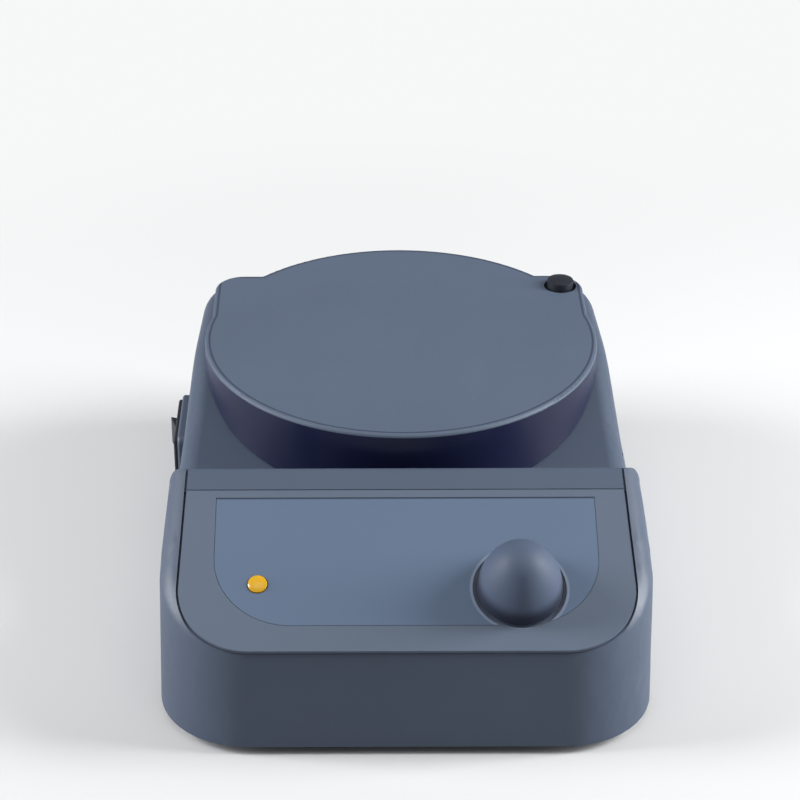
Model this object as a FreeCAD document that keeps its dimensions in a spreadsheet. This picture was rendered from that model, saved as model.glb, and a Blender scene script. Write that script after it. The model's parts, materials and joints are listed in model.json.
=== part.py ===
import FreeCAD, Part
import math
import os
import re
import Sketcher
from FreeCAD import Placement, Rotation, Vector

# Hotplate stirrer: a wedge-shaped moulded casing with a raised round heating plate,
# a sloping control panel with one knob, and a motor that turns a pair of magnets
# under the plate. Millimetres, +Z up, origin on the table under the middle.
# X runs to the right and -Y is the front, where the panel slopes down.

# Driving dimensions: alias, value, meaning
SIZES = [
    ("body_width", 155.6, "widest part of the casing, at the front"),
    ("body_depth", 203.4, "front of the casing to the rear rim of the plate"),
    ("overall_height", 74, "table to the top of the plate"),
    ("foot_height", 3, "rubber foot below the casing"),
    ("wall", 2.5, "moulded wall of the casing"),
    ("side_lean", 1.5, "degrees that the side and rear walls lean in as they rise"),
    ("front_lean", 5, "degrees that the front wall leans back as it rises"),
    ("knee_back", 40, "front of the casing to where the sides start to narrow"),
    ("rear_narrowing", 7, "how much narrower each side is at the rear"),
    ("rear_recess", 3.2, "rear wall ahead of the plate's rear rim"),
    ("front_corner", 29, "plan radius of the front corners"),
    ("knee_round", 380, "plan radius where the sides start to narrow"),
    ("rear_corner", 30, "plan radius of the rear corners"),
    ("edge_round", 7, "radius along the upper edges of the walls"),
    ("plate_diameter", 135, "round part of the heating plate"),
    ("plate_thickness", 3.5, "heating plate, without its skirt"),
    ("deck_gap", 0.6, "plate to the casing's deck"),
    ("rim_round", 1.2, "rounded upper rim of the plate"),
    ("skirt_wall", 2.5, "skirt that hangs from the plate's rim"),
    ("skirt_gap", 0.6, "skirt to the casing's upper surface"),
    ("ear_width", 131.7, "plate across its two rear corners"),
    ("ear_back", 46, "plate's centre to the straight rear edge"),
    ("ear_corner", 10, "plan radius of the plate's rear corners"),
    ("shoulder_margin", 0.6, "deck's rear bend behind the plate's rear edge"),
    ("shoulder_slope", 42, "degrees of the rear shoulder"),
    ("shoulder_round", 12, "radius where the deck bends to the shoulder"),
    ("valley_start", 1.8, "deck's front bend behind the plate's centre"),
    ("valley_length", 36, "steep part of the valley, front to back"),
    ("valley_slope", 20, "degrees of the steep part of the valley"),
    ("valley_front_slope", 14.5, "degrees of the shallow part of the valley"),
    ("valley_crown", 60, "radius where the deck bends to the valley"),
    ("valley_dish", 150, "radius at the bottom of the valley"),
    ("ridge_gap", 4.7, "front of the plate to the back of the ridge"),
    ("ridge_round", 2, "radius along the ridge"),
    ("lip_height", 38.2, "table to the front edge of the panel"),
    ("panel_slope", 24.8, "degrees of the control panel"),
    ("panel_width", 141.9, "control panel, across at its lower edge"),
    ("panel_taper", 1.8, "how much narrower each side of the panel is at the ridge"),
    ("panel_length", 56.8, "control panel, up its slope"),
    ("panel_thickness", 2, "control panel moulding"),
    ("panel_corner", 22, "radius of the panel's two lower corners"),
    ("panel_sink", 0.3, "panel's face below the casing around it"),
    ("panel_overhang", 1, "panel's lower edge ahead of the front wall"),
    ("groove", 0.7, "shadow groove around the panel"),
    ("panel_ledge", 4, "casing ledge that carries the panel"),
    ("film_width", 119, "panel film, across"),
    ("film_low", 7.9, "panel's lower edge to the film"),
    ("film_length", 46, "panel film, up the slope"),
    ("film_corner", 24, "radius of the film's two lower corners"),
    ("film_thickness", 0.5, "panel film, set into the panel"),
    ("film_gap", 0.15, "film's edge to its recess"),
    ("knob_across", 34.6, "knob's axis to the right of the middle"),
    ("knob_up", 20.7, "knob's axis up the panel from its lower edge"),
    ("knob_radius", 13.1, "knob at its widest"),
    ("knob_height", 19.8, "knob, rim to the tip of its dome"),
    ("knob_tip", 9.5, "radius at the tip of the knob's dome"),
    ("knob_wall", 1.8, "knob's wall at its rim"),
    ("knob_hub_wall", 2.4, "knob's hub around the shaft"),
    ("shaft_stand", 9.5, "encoder's shaft above the knob's rim"),
    ("plunger_length", 1.2, "encoder's plunger under its shaft"),
    ("knob_gap", 1.3, "knob's rim to the dish's floor when it isn't pressed"),
    ("knob_travel", 0.8, "how far the knob is pressed in"),
    ("dish_margin", 1.2, "dished ring in the panel, outside the knob"),
    ("dish_depth", 1, "dished ring in the panel, at its floor"),
    ("shaft_radius", 3, "encoder's shaft"),
    ("bushing_radius", 3.5, "encoder's threaded bushing"),
    ("encoder_size", 13, "encoder's square body"),
    ("encoder_height", 7.4, "encoder's body, board to panel"),
    ("nut_flats", 10, "encoder nut across its flats"),
    ("nut_height", 2, "encoder nut"),
    ("washer_thickness", 0.5, "encoder washer"),
    ("running_gap", 0.05, "radial clearance of a turning or sliding shaft"),
    ("board_thickness", 1.6, "circuit boards"),
    ("control_board_width", 104, "control board, across"),
    ("control_board_length", 34, "control board, up the slope"),
    ("control_board_low", 6.6, "panel's lower edge to the control board"),
    ("lamp_across", 45.9, "indicator lamp to the left of the middle"),
    ("lamp_up", 22.4, "indicator lamp up the panel"),
    ("lamp_radius", 3, "indicator lens"),
    ("lamp_stand", 1.1, "indicator lens above the film"),
    ("skirt_reach", 27, "skirt below the plate, before it is trimmed to the casing"),
    ("collar_reach", 26, "collar below the deck"),
    ("collar_radius", 62, "casing's collar inside the skirt"),
    ("gasket_thickness", 1, "seal between the collar and the plate"),
    ("lug_circle", 54.5, "radius of the circle of the plate's screws"),
    ("lug_radius", 5.5, "casing lug under each plate screw"),
    ("lug_height", 6, "casing lug under each plate screw"),
    ("boss_radius", 4.4, "cast boss under the plate"),
    ("screw_radius", 2, "plate screw"),
    ("screw_fit", 0.03, "radial clearance of a screw in its thread"),
    ("screw_clearance", 0.25, "radial clearance of a screw in a plain hole"),
    ("heater_thickness", 2, "mica heating element"),
    ("heater_outer", 48, "heating element, outer radius"),
    ("heater_inner", 14, "heating element, inner radius"),
    ("insulation_thickness", 4, "insulation under the element"),
    ("insulation_outer", 57, "insulation, outer radius"),
    ("insulation_inner", 8, "insulation, inner radius"),
    ("shield_thickness", 1, "sheet metal heat shield"),
    ("sensor_radius", 3, "temperature sensor under the plate"),
    ("magnet_gap", 1.5, "magnets to the heat shield"),
    ("magnet_radius", 8, "drive magnet"),
    ("magnet_thickness", 4, "drive magnet"),
    ("magnet_spread", 17, "drive magnet's axis to the motor's axis"),
    ("yoke_width", 18, "steel bar that carries the magnets"),
    ("yoke_thickness", 3, "steel bar that carries the magnets"),
    ("hub_radius", 6, "hub under the steel bar"),
    ("hub_height", 5, "hub under the steel bar"),
    ("hub_gap", 1.5, "hub to the motor's nose"),
    ("motor_shaft_radius", 2.5, "motor's shaft"),
    ("motor_radius", 21, "motor's can"),
    ("motor_height", 28, "motor's can"),
    ("nose_radius", 6, "motor's nose"),
    ("nose_height", 2.5, "motor's nose"),
    ("motor_screw_circle", 15.5, "radius of the circle of the motor's screws"),
    ("bracket_thickness", 1.5, "sheet steel motor bracket"),
    ("bracket_width", 48, "motor bracket, across"),
    ("bracket_depth", 44, "motor bracket, front to back"),
    ("bracket_foot", 8, "motor bracket's feet"),
    ("small_screw_radius", 1.5, "screws of the motor, boards and bracket"),
    ("small_head_radius", 2.8, "head of a small screw"),
    ("small_head_height", 1.8, "head of a small screw"),
    ("head_radius", 3.6, "head of a plate or cover screw"),
    ("head_height", 2.6, "head of a plate or cover screw"),
    ("cover_thickness", 2, "bottom cover"),
    ("cover_gap", 0.4, "bottom cover to the casing's wall"),
    ("cover_boss_radius", 4.5, "casing's boss for a cover screw"),
    ("cover_boss_height", 22, "casing's boss for a cover screw"),
    ("cover_screw_length", 12, "cover screw in its boss"),
    ("foot_radius", 8, "rubber foot"),
    ("foot_stem_radius", 2.6, "foot's stem in the cover"),
    ("foot_bulb_height", 1.6, "foot's bulb above the cover"),
    ("foot_across", 50, "foot to the middle"),
    ("foot_front", 24, "front feet behind the front wall"),
    ("foot_rear", 26, "rear feet ahead of the rear wall"),
    ("vent_width", 3, "vent slots in the bottom cover"),
    ("vent_length", 34, "vent slots in the bottom cover"),
    ("vent_pitch", 8, "vent slots in the bottom cover"),
    ("vent_count", 5, "vent slots in the bottom cover"),
    ("louvre_width", 2.4, "louvres in the right wall"),
    ("louvre_height", 17, "rear louvre in the right wall"),
    ("louvre_pitch", 7.5, "louvres in the right wall"),
    ("louvre_count", 7, "louvres in the right wall"),
    ("louvre_front", 50, "front louvre behind the front wall"),
    ("louvre_drop", 4, "louvres below the valley's edge"),
    ("rod_across", 57.9, "support rod socket to the right of the middle"),
    ("rod_back", 37.2, "support rod socket behind the plate's centre"),
    ("notch_radius", 5.8, "scallop in the plate around the rod socket"),
    ("socket_radius", 6, "steel rod socket, outside"),
    ("socket_bore", 4.25, "rod socket's thread, core radius"),
    ("socket_length", 26, "rod socket"),
    ("socket_depth", 20, "rod socket's thread"),
    ("socket_wall", 2.4, "casing's boss around the rod socket"),
    ("cap_radius", 4.6, "head of the rod socket's cap"),
    ("cap_height", 7.2, "head of the rod socket's cap"),
    ("cap_stem", 8, "stem of the cap in the socket"),
    ("inlet_across", 30, "mains inlet to the left of the middle"),
    ("inlet_height", 27, "middle of the mains inlet above the table"),
    ("inlet_width", 31, "flange of the mains inlet"),
    ("inlet_length", 37, "flange of the mains inlet, top to bottom"),
    ("inlet_flange", 2.4, "flange of the mains inlet"),
    ("inlet_border", 2, "flange past the cut-out"),
    ("inlet_depth", 21, "mains inlet behind its flange"),
    ("socket_width", 24.4, "appliance socket's mouth"),
    ("socket_height", 16.4, "appliance socket's mouth"),
    ("socket_up", 6.8, "socket's middle above the inlet's middle"),
    ("socket_cavity", 17.5, "appliance socket, mouth to floor"),
    ("pin_width", 4, "contact pin"),
    ("pin_thickness", 2, "contact pin"),
    ("pin_length", 12, "contact pin, floor to tip"),
    ("pin_pitch", 7, "line pin to the earth pin, across"),
    ("pin_stagger", 2, "line pins and earth pin, from the middle"),
    ("tab_length", 7, "solder tab behind the inlet"),
    ("drawer_width", 22, "fuse drawer"),
    ("drawer_height", 9, "fuse drawer"),
    ("drawer_down", 11, "fuse drawer's middle below the inlet's middle"),
    ("drawer_depth", 18, "fuse drawer behind its face"),
    ("drawer_face", 1.2, "fuse drawer's face"),
    ("drawer_gap", 0.25, "fuse drawer in its slot"),
    ("fuse_radius", 2.5, "glass fuse"),
    ("fuse_length", 14, "glass fuse"),
    ("switch_back", 122, "power switch behind the front wall"),
    ("switch_height", 40, "middle of the power switch above the table"),
    ("pod_length", 32, "moulded pod around the switch, front to back"),
    ("pod_height", 21, "moulded pod around the switch"),
    ("pod_reach", 76.2, "pod's face to the middle of the casing"),
    ("pod_round", 3, "radius of the pod's corners"),
    ("switch_length", 28, "switch's bezel, front to back"),
    ("switch_tall", 17, "switch's bezel"),
    ("switch_bezel", 1.4, "switch's bezel"),
    ("switch_border", 2, "bezel past the cut-out"),
    ("switch_depth", 13, "switch behind its bezel"),
    ("rocker_length", 18, "rocker, front to back"),
    ("rocker_tall", 10, "rocker"),
    ("rocker_tilt", 8, "degrees of the rocker to each side"),
    ("rocker_gap", 0.3, "rocker in its frame"),
    ("rocker_pivot", 5.5, "rocker's pivot behind the bezel's face"),
    ("pivot_radius", 1.2, "rocker's pivot pin"),
    ("power_board_width", 34, "power board, across"),
    ("power_board_length", 84, "power board, front to back"),
    ("power_board_across", 50, "power board's middle to the right"),
    ("power_board_back", 92, "power board's middle behind the front wall"),
    ("stand_off", 6, "boards above the bottom cover"),
    ("post_radius", 3, "post under a board's corner"),
    ("post_inset", 3.6, "post in from a board's edges"),
    ("transformer_width", 28, "transformer core, across"),
    ("transformer_length", 34, "transformer core, front to back"),
    ("transformer_height", 24, "transformer core"),
    ("coil_overhang", 4, "transformer's coil past its core"),
    ("capacitor_radius", 6, "smoothing capacitor"),
    ("capacitor_height", 17, "smoothing capacitor"),
    ("sink_height", 20, "heat sink of the heater's switch"),
    ("fin_count", 5, "fins of the heat sink"),
    ("fin_pitch", 3.2, "fins of the heat sink"),
    ("socket_corner", 4.5, "cut corners of the appliance socket"),
    ("pod_root", 6, "switch pod inside the casing's wall"),
    ("lens_collar", 1.2, "collar of the lens under the panel"),
    ("chip_width", 9, "chip on the control board"),
]

doc = FreeCAD.newDocument("HotplateStirrer")
sheet = doc.addObject("Spreadsheet::Sheet", "Sizes")
for row, (alias, number, meaning) in enumerate(SIZES, start=1):
    sheet.set(f"A{row}", meaning)
    sheet.set(f"B{row}", str(number))
    sheet.setAlias(f"B{row}", alias)
doc.recompute()

# Worked-out lengths that several pieces share, as formulas of the sheet's cells
SHARED = {
    "front": "(-body_depth / 2)",
    "back_wall": "(body_depth / 2 - rear_recess)",
    "plate_radius": "(plate_diameter / 2)",
    "centre": "(body_depth / 2 - plate_diameter / 2)",
    "plate_base": "(overall_height - plate_thickness)",
    "deck": "(overall_height - plate_thickness - deck_gap)",
    "lip": "(-body_depth / 2 + (lip_height - foot_height) * tan(front_lean * 1 deg))",
    "ridge_back": "(body_depth / 2 - plate_diameter - ridge_gap)",
    "cover_top": "(foot_height + cover_thickness)",
    "board_top": "(-panel_thickness - encoder_height)",
    "bezel_face": "(-pod_reach - switch_bezel)",
    "switch_middle": "(front + switch_back)",
    "valley_bend": "(centre + valley_start - valley_length)",
    "valley_floor": "(deck - valley_length * tan(valley_slope * 1 deg))",
    "stack": "(heater_thickness + insulation_thickness)",
    "lug_top": "(plate_base - stack - shield_thickness)",
    "magnet_top": "(lug_top - magnet_gap)",
    "yoke_top": "(magnet_top - magnet_thickness)",
    "nose_top": "(yoke_top - yoke_thickness - hub_height - hub_gap)",
    "can_top": "(nose_top - nose_height)",
    "board_low": "(board_top - board_thickness)",
    "power_top": "(cover_top + stand_off + board_thickness)",
    "power_middle": "(front + power_board_back)",
    "dish_radius": "(knob_radius + dish_margin)",
    "knob_rim": "(knob_gap - dish_depth)",
    "inlet_face": "(back_wall + inlet_flange)",
    "rod_y": "(centre + rod_back)",
    "thread_radius": "(screw_radius + screw_fit)",
    "small_thread": "(small_screw_radius + screw_fit)",
    "plain_hole": "(screw_radius + screw_clearance)",
    "small_hole": "(small_screw_radius + screw_clearance)",
}
CELLS = {alias for alias, _, _ in SIZES}


def formula(text):
    """Write out the shared lengths and put the sheet's name before each alias."""
    text = str(text)
    before = None
    while text != before:
        before = text
        text = re.sub(r"[a-z_]+", lambda word: SHARED.get(word.group(), word.group()), text)
    return re.sub(r"[a-z_]+", lambda word: f"Sizes.{word.group()}" if word.group() in CELLS else word.group(), text)


def value(text):
    """Number that a formula stands for."""
    return float(sheet.evalExpression(formula(text)))


def bind(piece, settings):
    """Bind properties of a piece to formulas."""
    for name, text in settings.items():
        piece.setExpression(name, formula(text))
    return piece


def place(piece, x=0, y=0, z=0):
    """Bind the place of a piece to formulas."""
    return bind(piece, {"Placement.Base.x": x, "Placement.Base.y": y, "Placement.Base.z": z})


def box(name, low, size):
    """Box from its lowest corner and its three lengths."""
    piece = doc.addObject("Part::Box", name)
    bind(piece, dict(zip(("Length", "Width", "Height"), size)))
    return place(piece, *low)


def block(name, middle, size):
    """Box from the middle of its base and its three lengths."""
    x, y, z = middle
    return box(name, (f"{x} - ({size[0]}) / 2", f"{y} - ({size[1]}) / 2", z), size)


TURNS = {
    "+Z": Rotation(),
    "-Z": Rotation(Vector(1, 0, 0), 180),
    "+X": Rotation(Vector(0, 1, 0), 90),
    "-X": Rotation(Vector(0, 1, 0), -90),
    "+Y": Rotation(Vector(1, 0, 0), -90),
    "-Y": Rotation(Vector(1, 0, 0), 90),
}


def rod(name, start, radius, length, along="+Z"):
    """Cylinder from the middle of its first end."""
    piece = doc.addObject("Part::Cylinder", name)
    piece.Placement = Placement(Vector(), TURNS[along])
    bind(piece, {"Radius": radius, "Height": length})
    return place(piece, *start)


def cone(name, start, first_radius, last_radius, length, along="+Z"):
    """Cone from the middle of its first end."""
    piece = doc.addObject("Part::Cone", name)
    piece.Placement = Placement(Vector(), TURNS[along])
    bind(piece, {"Radius1": first_radius, "Radius2": last_radius, "Height": length})
    return place(piece, *start)


def fuse(name, pieces):
    """Union of pieces."""
    union = doc.addObject("Part::MultiFuse", name)
    union.Shapes = pieces
    union.Refine = True
    return union


def group(name, pieces):
    """Separate solids kept together as one compound."""
    compound = doc.addObject("Part::Compound", name)
    compound.Links = pieces
    return compound


def cut(name, base, *tools):
    """Piece with one or more tools taken out of it."""
    result = doc.addObject("Part::Cut", name)
    result.Base = base
    result.Tool = tools[0] if len(tools) == 1 else fuse(f"{name}_tools", list(tools))
    result.Refine = True
    return result


def common(name, first, second):
    """What two pieces share."""
    result = doc.addObject("Part::Common", name)
    result.Base = first
    result.Tool = second
    return result


def middle_of(edge):
    """Point halfway along an edge."""
    return edge.valueAt((edge.FirstParameter + edge.LastParameter) / 2)


def leans_up(face):
    """How far a face looks up, from -1 to 1."""
    first_u, last_u, first_v, last_v = face.ParameterRange
    return face.normalAt((first_u + last_u) / 2, (first_v + last_v) / 2).z


def upper_rim(shape):
    """Edges where an upward face meets a wall."""
    tops = [face for face in shape.Faces if leans_up(face) > 0.3]
    walls = [face for face in shape.Faces if abs(leans_up(face)) < 0.25]
    on_top = [edge for face in tops for edge in face.Edges]
    on_walls = [edge for face in walls for edge in face.Edges]
    return [edge for edge in on_top if any(edge.isSame(other) for other in on_walls)]


def rounded(name, base, rounds):
    """Piece with edges rounded; rounds is a list of a radius formula and a choice of edges."""
    doc.recompute()
    edges = base.Shape.Edges
    chosen = []
    for radius, choose in rounds:
        picked = choose(base.Shape)
        for index, edge in enumerate(edges, start=1):
            if any(edge.isSame(other) for other in picked):
                chosen.append((index, value(radius), value(radius)))
    result = doc.addObject("Part::Fillet", name)
    result.Base = base
    result.Edges = chosen
    return result


def edges_at(*places, reach=0.5):
    """Choice of the edges whose middle lies near one of some points; None is any value."""
    def choose(shape):
        picked = []
        for edge in shape.Edges:
            spot = middle_of(edge)
            for target in places:
                pairs = [(a, value(b)) for a, b in zip(spot, target) if b is not None]
                if all(abs(a - b) < reach for a, b in pairs):
                    picked.append(edge)
        return picked
    return choose


SKETCH_PLANES = {
    "XY": Rotation(),
    "YZ": Rotation(Vector(1, 1, 1), 120),
    "XZ": Rotation(Vector(1, 0, 0), 90),
}


def draw(sketch, corners):
    """Closed outline with every corner bound to two formulas.

    A corner with a third formula is followed by an arc of that radius, which bulges
    to the right of its direction.
    """
    points = [Vector(value(corner[0]), value(corner[1]), 0) for corner in corners]
    lines = []
    for corner, start, end in zip(corners, points, points[1:] + points[:1]):
        if len(corner) == 2:
            lines.append(sketch.addGeometry(Part.LineSegment(start, end), False))
            continue
        radius = value(corner[2])
        chord = end - start
        inward = Vector(-chord.y, chord.x, 0).normalize()
        middle = (start + end) / 2 + inward * math.sqrt(max(radius ** 2 - (chord.Length / 2) ** 2, 0))
        angles = [math.atan2(point.y - middle.y, point.x - middle.x) for point in (start, end)]
        circle = Part.Circle(middle, Vector(0, 0, 1), radius)
        lines.append(sketch.addGeometry(Part.ArcOfCircle(circle, *angles), False))
    for index, (corner, line) in enumerate(zip(corners, lines)):
        sketch.addConstraint(Sketcher.Constraint("Coincident", line, 2, lines[(index + 1) % len(lines)], 1))
        settings = [(("DistanceX", -1, 1, line, 1), corner[0]), (("DistanceY", -1, 1, line, 1), corner[1])]
        settings += [(("Radius", line), text) for text in corner[2:]]
        for kind, text in settings:
            number = sketch.addConstraint(Sketcher.Constraint(*kind, value(text)))
            sketch.setExpression(f"Constraints[{number}]", formula(text))


def draw_circle(sketch, x, y, radius):
    """Circle with its centre and radius bound to formulas."""
    circle = sketch.addGeometry(Part.Circle(Vector(value(x), value(y), 0), Vector(0, 0, 1), value(radius)),
                                False)
    settings = (("DistanceX", x), ("DistanceY", y))
    for kind, text in settings:
        number = sketch.addConstraint(Sketcher.Constraint(kind, -1, 1, circle, 3, value(text)))
        sketch.setExpression(f"Constraints[{number}]", formula(text))
    number = sketch.addConstraint(Sketcher.Constraint("Radius", circle, value(radius)))
    sketch.setExpression(f"Constraints[{number}]", formula(radius))


def free_sketch(name, plane, corners, height="0"):
    """Sketch outside a body, on one of the main planes, raised along Z."""
    sketch = doc.addObject("Sketcher::SketchObject", name)
    sketch.Placement = Placement(Vector(), SKETCH_PLANES[plane])
    bind(sketch, {"Placement.Base.z": height})
    draw(sketch, corners)
    return sketch


def bar(name, plane, corners, length, symmetric=True):
    """Straight bar with the section of a closed outline."""
    solid = doc.addObject("Part::Extrusion", name)
    solid.Base = free_sketch(f"{name}_section", plane, corners)
    solid.DirMode = "Normal"
    solid.Solid = True
    solid.Symmetric = symmetric
    return bind(solid, {"LengthFwd": length})


def new_body(name):
    """Body with its own origin planes."""
    body = doc.addObject("PartDesign::Body", name)
    doc.recompute()
    return body


def body_sketch(body, name, role="XY_Plane", offset="0"):
    """Sketch on one of a body's own origin planes."""
    sketch = body.newObject("Sketcher::SketchObject", name)
    plane = next(item for item in body.Origin.OriginFeatures if item.Role == role)
    sketch.AttachmentSupport = [(plane, "")]
    sketch.MapMode = "FlatFace"
    return bind(sketch, {"AttachmentOffset.Base.z": offset})


def feature(body, kind, name, sketch, settings):
    """Sketch-based feature of a body."""
    result = body.newObject(f"PartDesign::{kind}", name)
    result.Profile = sketch
    return bind(result, settings)


def seat_on_panel(piece):
    """Carry a piece drawn flat on to the sloping panel: its origin is the middle of the lip."""
    seated = group(f"{piece.Name}_seated", [piece])
    seated.Placement = Placement(Vector(), Rotation(Vector(1, 0, 0), value("panel_slope")))
    bind(seated, {"Placement.Rotation.Angle": "panel_slope"})
    return place(seated, "0", "lip", "lip_height")


def screw(name, start, radius, length, head_radius, head_height, along="+Z"):
    """Screw whose head starts at a point and whose shank follows it."""
    head = rod(f"{name}_head", start, head_radius, head_height, along)
    shank_start = list(start)
    axis = "XYZ".index(along[1])
    shank_start[axis] = f"{start[axis]} {along[0]} ({head_height})"
    shank = rod(f"{name}_shank", shank_start, radius, length, along)
    return fuse(name, [head, shank])


def mirrored_spots(across, front, rear):
    """Four spots, two at the front and two at the rear, alike left and right."""
    return [(f"{side} * ({across})", depth) for depth in (front, rear) for side in ("-1", "1")]


PIECES = {}


def keep(name, piece):
    """Give a finished piece the name of its file."""
    piece.Label = name
    PIECES[name] = piece
    return piece


# Casing: plan block, upper surfaces, cavity

def plan_corners(inset, front_inset, back_inset):
    """Plan outline of the casing at one height, set in by formulas."""
    half = f"(body_width / 2 - {inset})"
    rear = f"(body_width / 2 - rear_narrowing - {inset})"
    return [
        (f"-{half}", f"front + {front_inset}"),
        (half, f"front + {front_inset}"),
        (half, "front + knee_back"),
        (rear, f"back_wall - {back_inset}"),
        (f"-{rear}", f"back_wall - {back_inset}"),
        (f"-{half}", "front + knee_back"),
    ]


def plan_block(name, inset, low):
    """Block with leaning walls and rounded corners, set in from the casing's outside."""
    sections = []
    for end, height in (("low", low), ("high", "overall_height")):
        inward, backward = (f"({inset} + ({height} - foot_height) * tan({lean} * 1 deg))"
                            for lean in ("side_lean", "front_lean"))
        sections.append(free_sketch(f"{name}_{end}", "XY", plan_corners(inward, backward, inset), height))
    loft = doc.addObject("Part::Loft", f"{name}_loft")
    loft.Sections = sections
    loft.Solid = True
    loft.Ruled = True
    doc.recompute()

    def corner_edges(low_depth, high_depth):
        """Choice of the leaning corner edges within a stretch of the depth."""
        def choose(shape):
            flat = [edge for edge in shape.Edges if abs(edge.Vertexes[0].Z - edge.Vertexes[1].Z) > 1]
            return [edge for edge in flat if value(low_depth) < middle_of(edge).y < value(high_depth)]
        return choose

    return rounded(name, loft, [
        (f"front_corner - {inset}", corner_edges("front - 5", "front + knee_back / 2")),
        ("knee_round", corner_edges("front + knee_back / 2", "front + knee_back * 1.5")),
        (f"rear_corner - {inset}", corner_edges("back_wall - 20", "back_wall + 5")),
    ])


def deck_bar(name, drop, low):
    """Bar with the side view of the rear shoulder, the deck and the valley, lowered by a wall."""
    reach = "(body_depth / 2 + 10)"
    deck_line = f"(deck - {drop})"
    shoulder = f"(centre + ear_back + shoulder_margin - {drop} * tan(shoulder_slope / 2 * 1 deg))"
    bend = f"(centre + valley_start + {drop} * tan(valley_slope / 2 * 1 deg))"
    mean = "((valley_slope + valley_front_slope) / 2 * 1 deg)"
    spread = "cos((valley_slope - valley_front_slope) / 2 * 1 deg)"
    valley = f"(valley_bend + {drop} * sin{mean} / {spread})"
    valley_line = f"(valley_floor - {drop} * cos{mean} / {spread})"
    fall = f"({reach} - {shoulder}) * tan(shoulder_slope * 1 deg)"
    front_fall = f"({valley} + {reach}) * tan(valley_front_slope * 1 deg)"
    section = bar(f"{name}_bar", "YZ", [
        (f"-{reach}", low),
        (reach, low),
        (reach, f"{deck_line} - {fall}"),
        (shoulder, deck_line),
        (bend, deck_line),
        (valley, valley_line),
        (f"-{reach}", f"{valley_line} - {front_fall}"),
    ], "body_width + 20")
    steep = "valley_length / cos(valley_slope * 1 deg)"
    crown = f"min(valley_crown; 0.45 * {steep} / tan(valley_slope / 2 * 1 deg))"
    dish = f"min(valley_dish; 0.5 * {steep} / tan((valley_slope - valley_front_slope) / 2 * 1 deg))"
    return rounded(name, section, [
        (f"shoulder_round - {drop}", edges_at((None, shoulder, deck_line))),
        (f"{crown} - {drop}", edges_at((None, bend, deck_line))),
        (f"{dish} + {drop}", edges_at((None, valley, valley_line))),
    ])


def console_bar(name, drop, back_inset, low):
    """Bar with the side view of the sloping console up to the ridge, lowered by a wall."""
    reach = "(body_depth / 2 + 10)"
    back = f"(ridge_back - {back_inset})"
    slope = "tan(panel_slope * 1 deg)"
    lowered = f"(lip_height + panel_sink - {drop} / cos(panel_slope * 1 deg))"
    return bar(name, "YZ", [
        (f"-{reach}", low),
        (back, low),
        (back, f"{lowered} + ({back} - lip) * {slope}"),
        (f"-{reach}", f"{lowered} - (lip + {reach}) * {slope}"),
    ], "body_width + 20")


def ridge_edge(shape):
    """Edge along the ridge, where the console's slope meets its back."""
    return [edge for edge in upper_rim(shape)
            if abs(middle_of(edge).y - value("ridge_back")) < 0.1 and abs(middle_of(edge).x) < 1]


def side_and_front_rim(shape):
    """Upper rim without the ridge."""
    ridge = ridge_edge(shape)
    return [edge for edge in upper_rim(shape) if not any(edge.isSame(other) for other in ridge)]


outer_block = plan_block("outer_block", "0", "foot_height")
outer_deck = deck_bar("outer_deck", "0", "0")
lower_mass = rounded("lower_mass", common("lower_raw", outer_block, outer_deck), [("edge_round", upper_rim)])
console_raw = common("console_raw", outer_block, console_bar("outer_console", "0", "0", "0"))
console_mass = rounded("console_mass", console_raw, [
    ("edge_round", side_and_front_rim),
    ("ridge_round", ridge_edge),
])
behind_ridge = box("behind_ridge", ("-body_width / 2 - 10", "ridge_back", "0"),
                   ("body_width + 20", "body_depth", "overall_height"))
outside = fuse("casing_outside", [common("lower_rear", lower_mass, behind_ridge), console_mass])

panel_floor = "(wall + panel_thickness + panel_sink)"
inner_block = plan_block("inner_block", "wall", "0")
inner_deck = common("inner_lower", inner_block, deck_bar("inner_deck", "wall", "-1"))
inner_console = common("inner_upper", inner_block, console_bar("inner_console", panel_floor, "wall", "-1"))
shell = cut("casing_shell", outside, inner_deck, inner_console)


def corner_spots():
    """Spots of the cover screws, one in each rounded corner of the casing."""
    def along(half, corner, side):
        reach = f"({corner} - wall - cover_boss_radius + 1) * cos(45 * 1 deg)"
        return f"({half} - {corner} + {reach})" if side else f"({corner} - {reach})"

    front_x = along("body_width / 2", "front_corner", True)
    rear_x = along("(body_width / 2 - rear_narrowing)", "rear_corner", True)
    front_y = "(front + " + along("", "front_corner", False) + ")"
    rear_y = "(back_wall - " + along("", "rear_corner", False) + ")"
    return [(f"-{front_x}", front_y), (front_x, front_y), (f"-{rear_x}", rear_y), (rear_x, rear_y)]


def lug_spots():
    """Spots of the plate's screws, on the diagonals of its circle."""
    reach = "lug_circle * cos(45 * 1 deg)"
    return [(f"{across} * {reach}", f"centre + {along} * {reach}") for along in (-1, 1) for across in (-1, 1)]


def rods(name, spots, height, radius, length, along="+Z"):
    """One cylinder at each spot."""
    return [rod(f"{name}_{index}", (x, y, height), radius, length, along)
            for index, (x, y) in enumerate(spots, start=1)]


cover_spots = corner_spots()
plate_spots = lug_spots()
rod_spot = ("rod_across", "rod_y")

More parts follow.
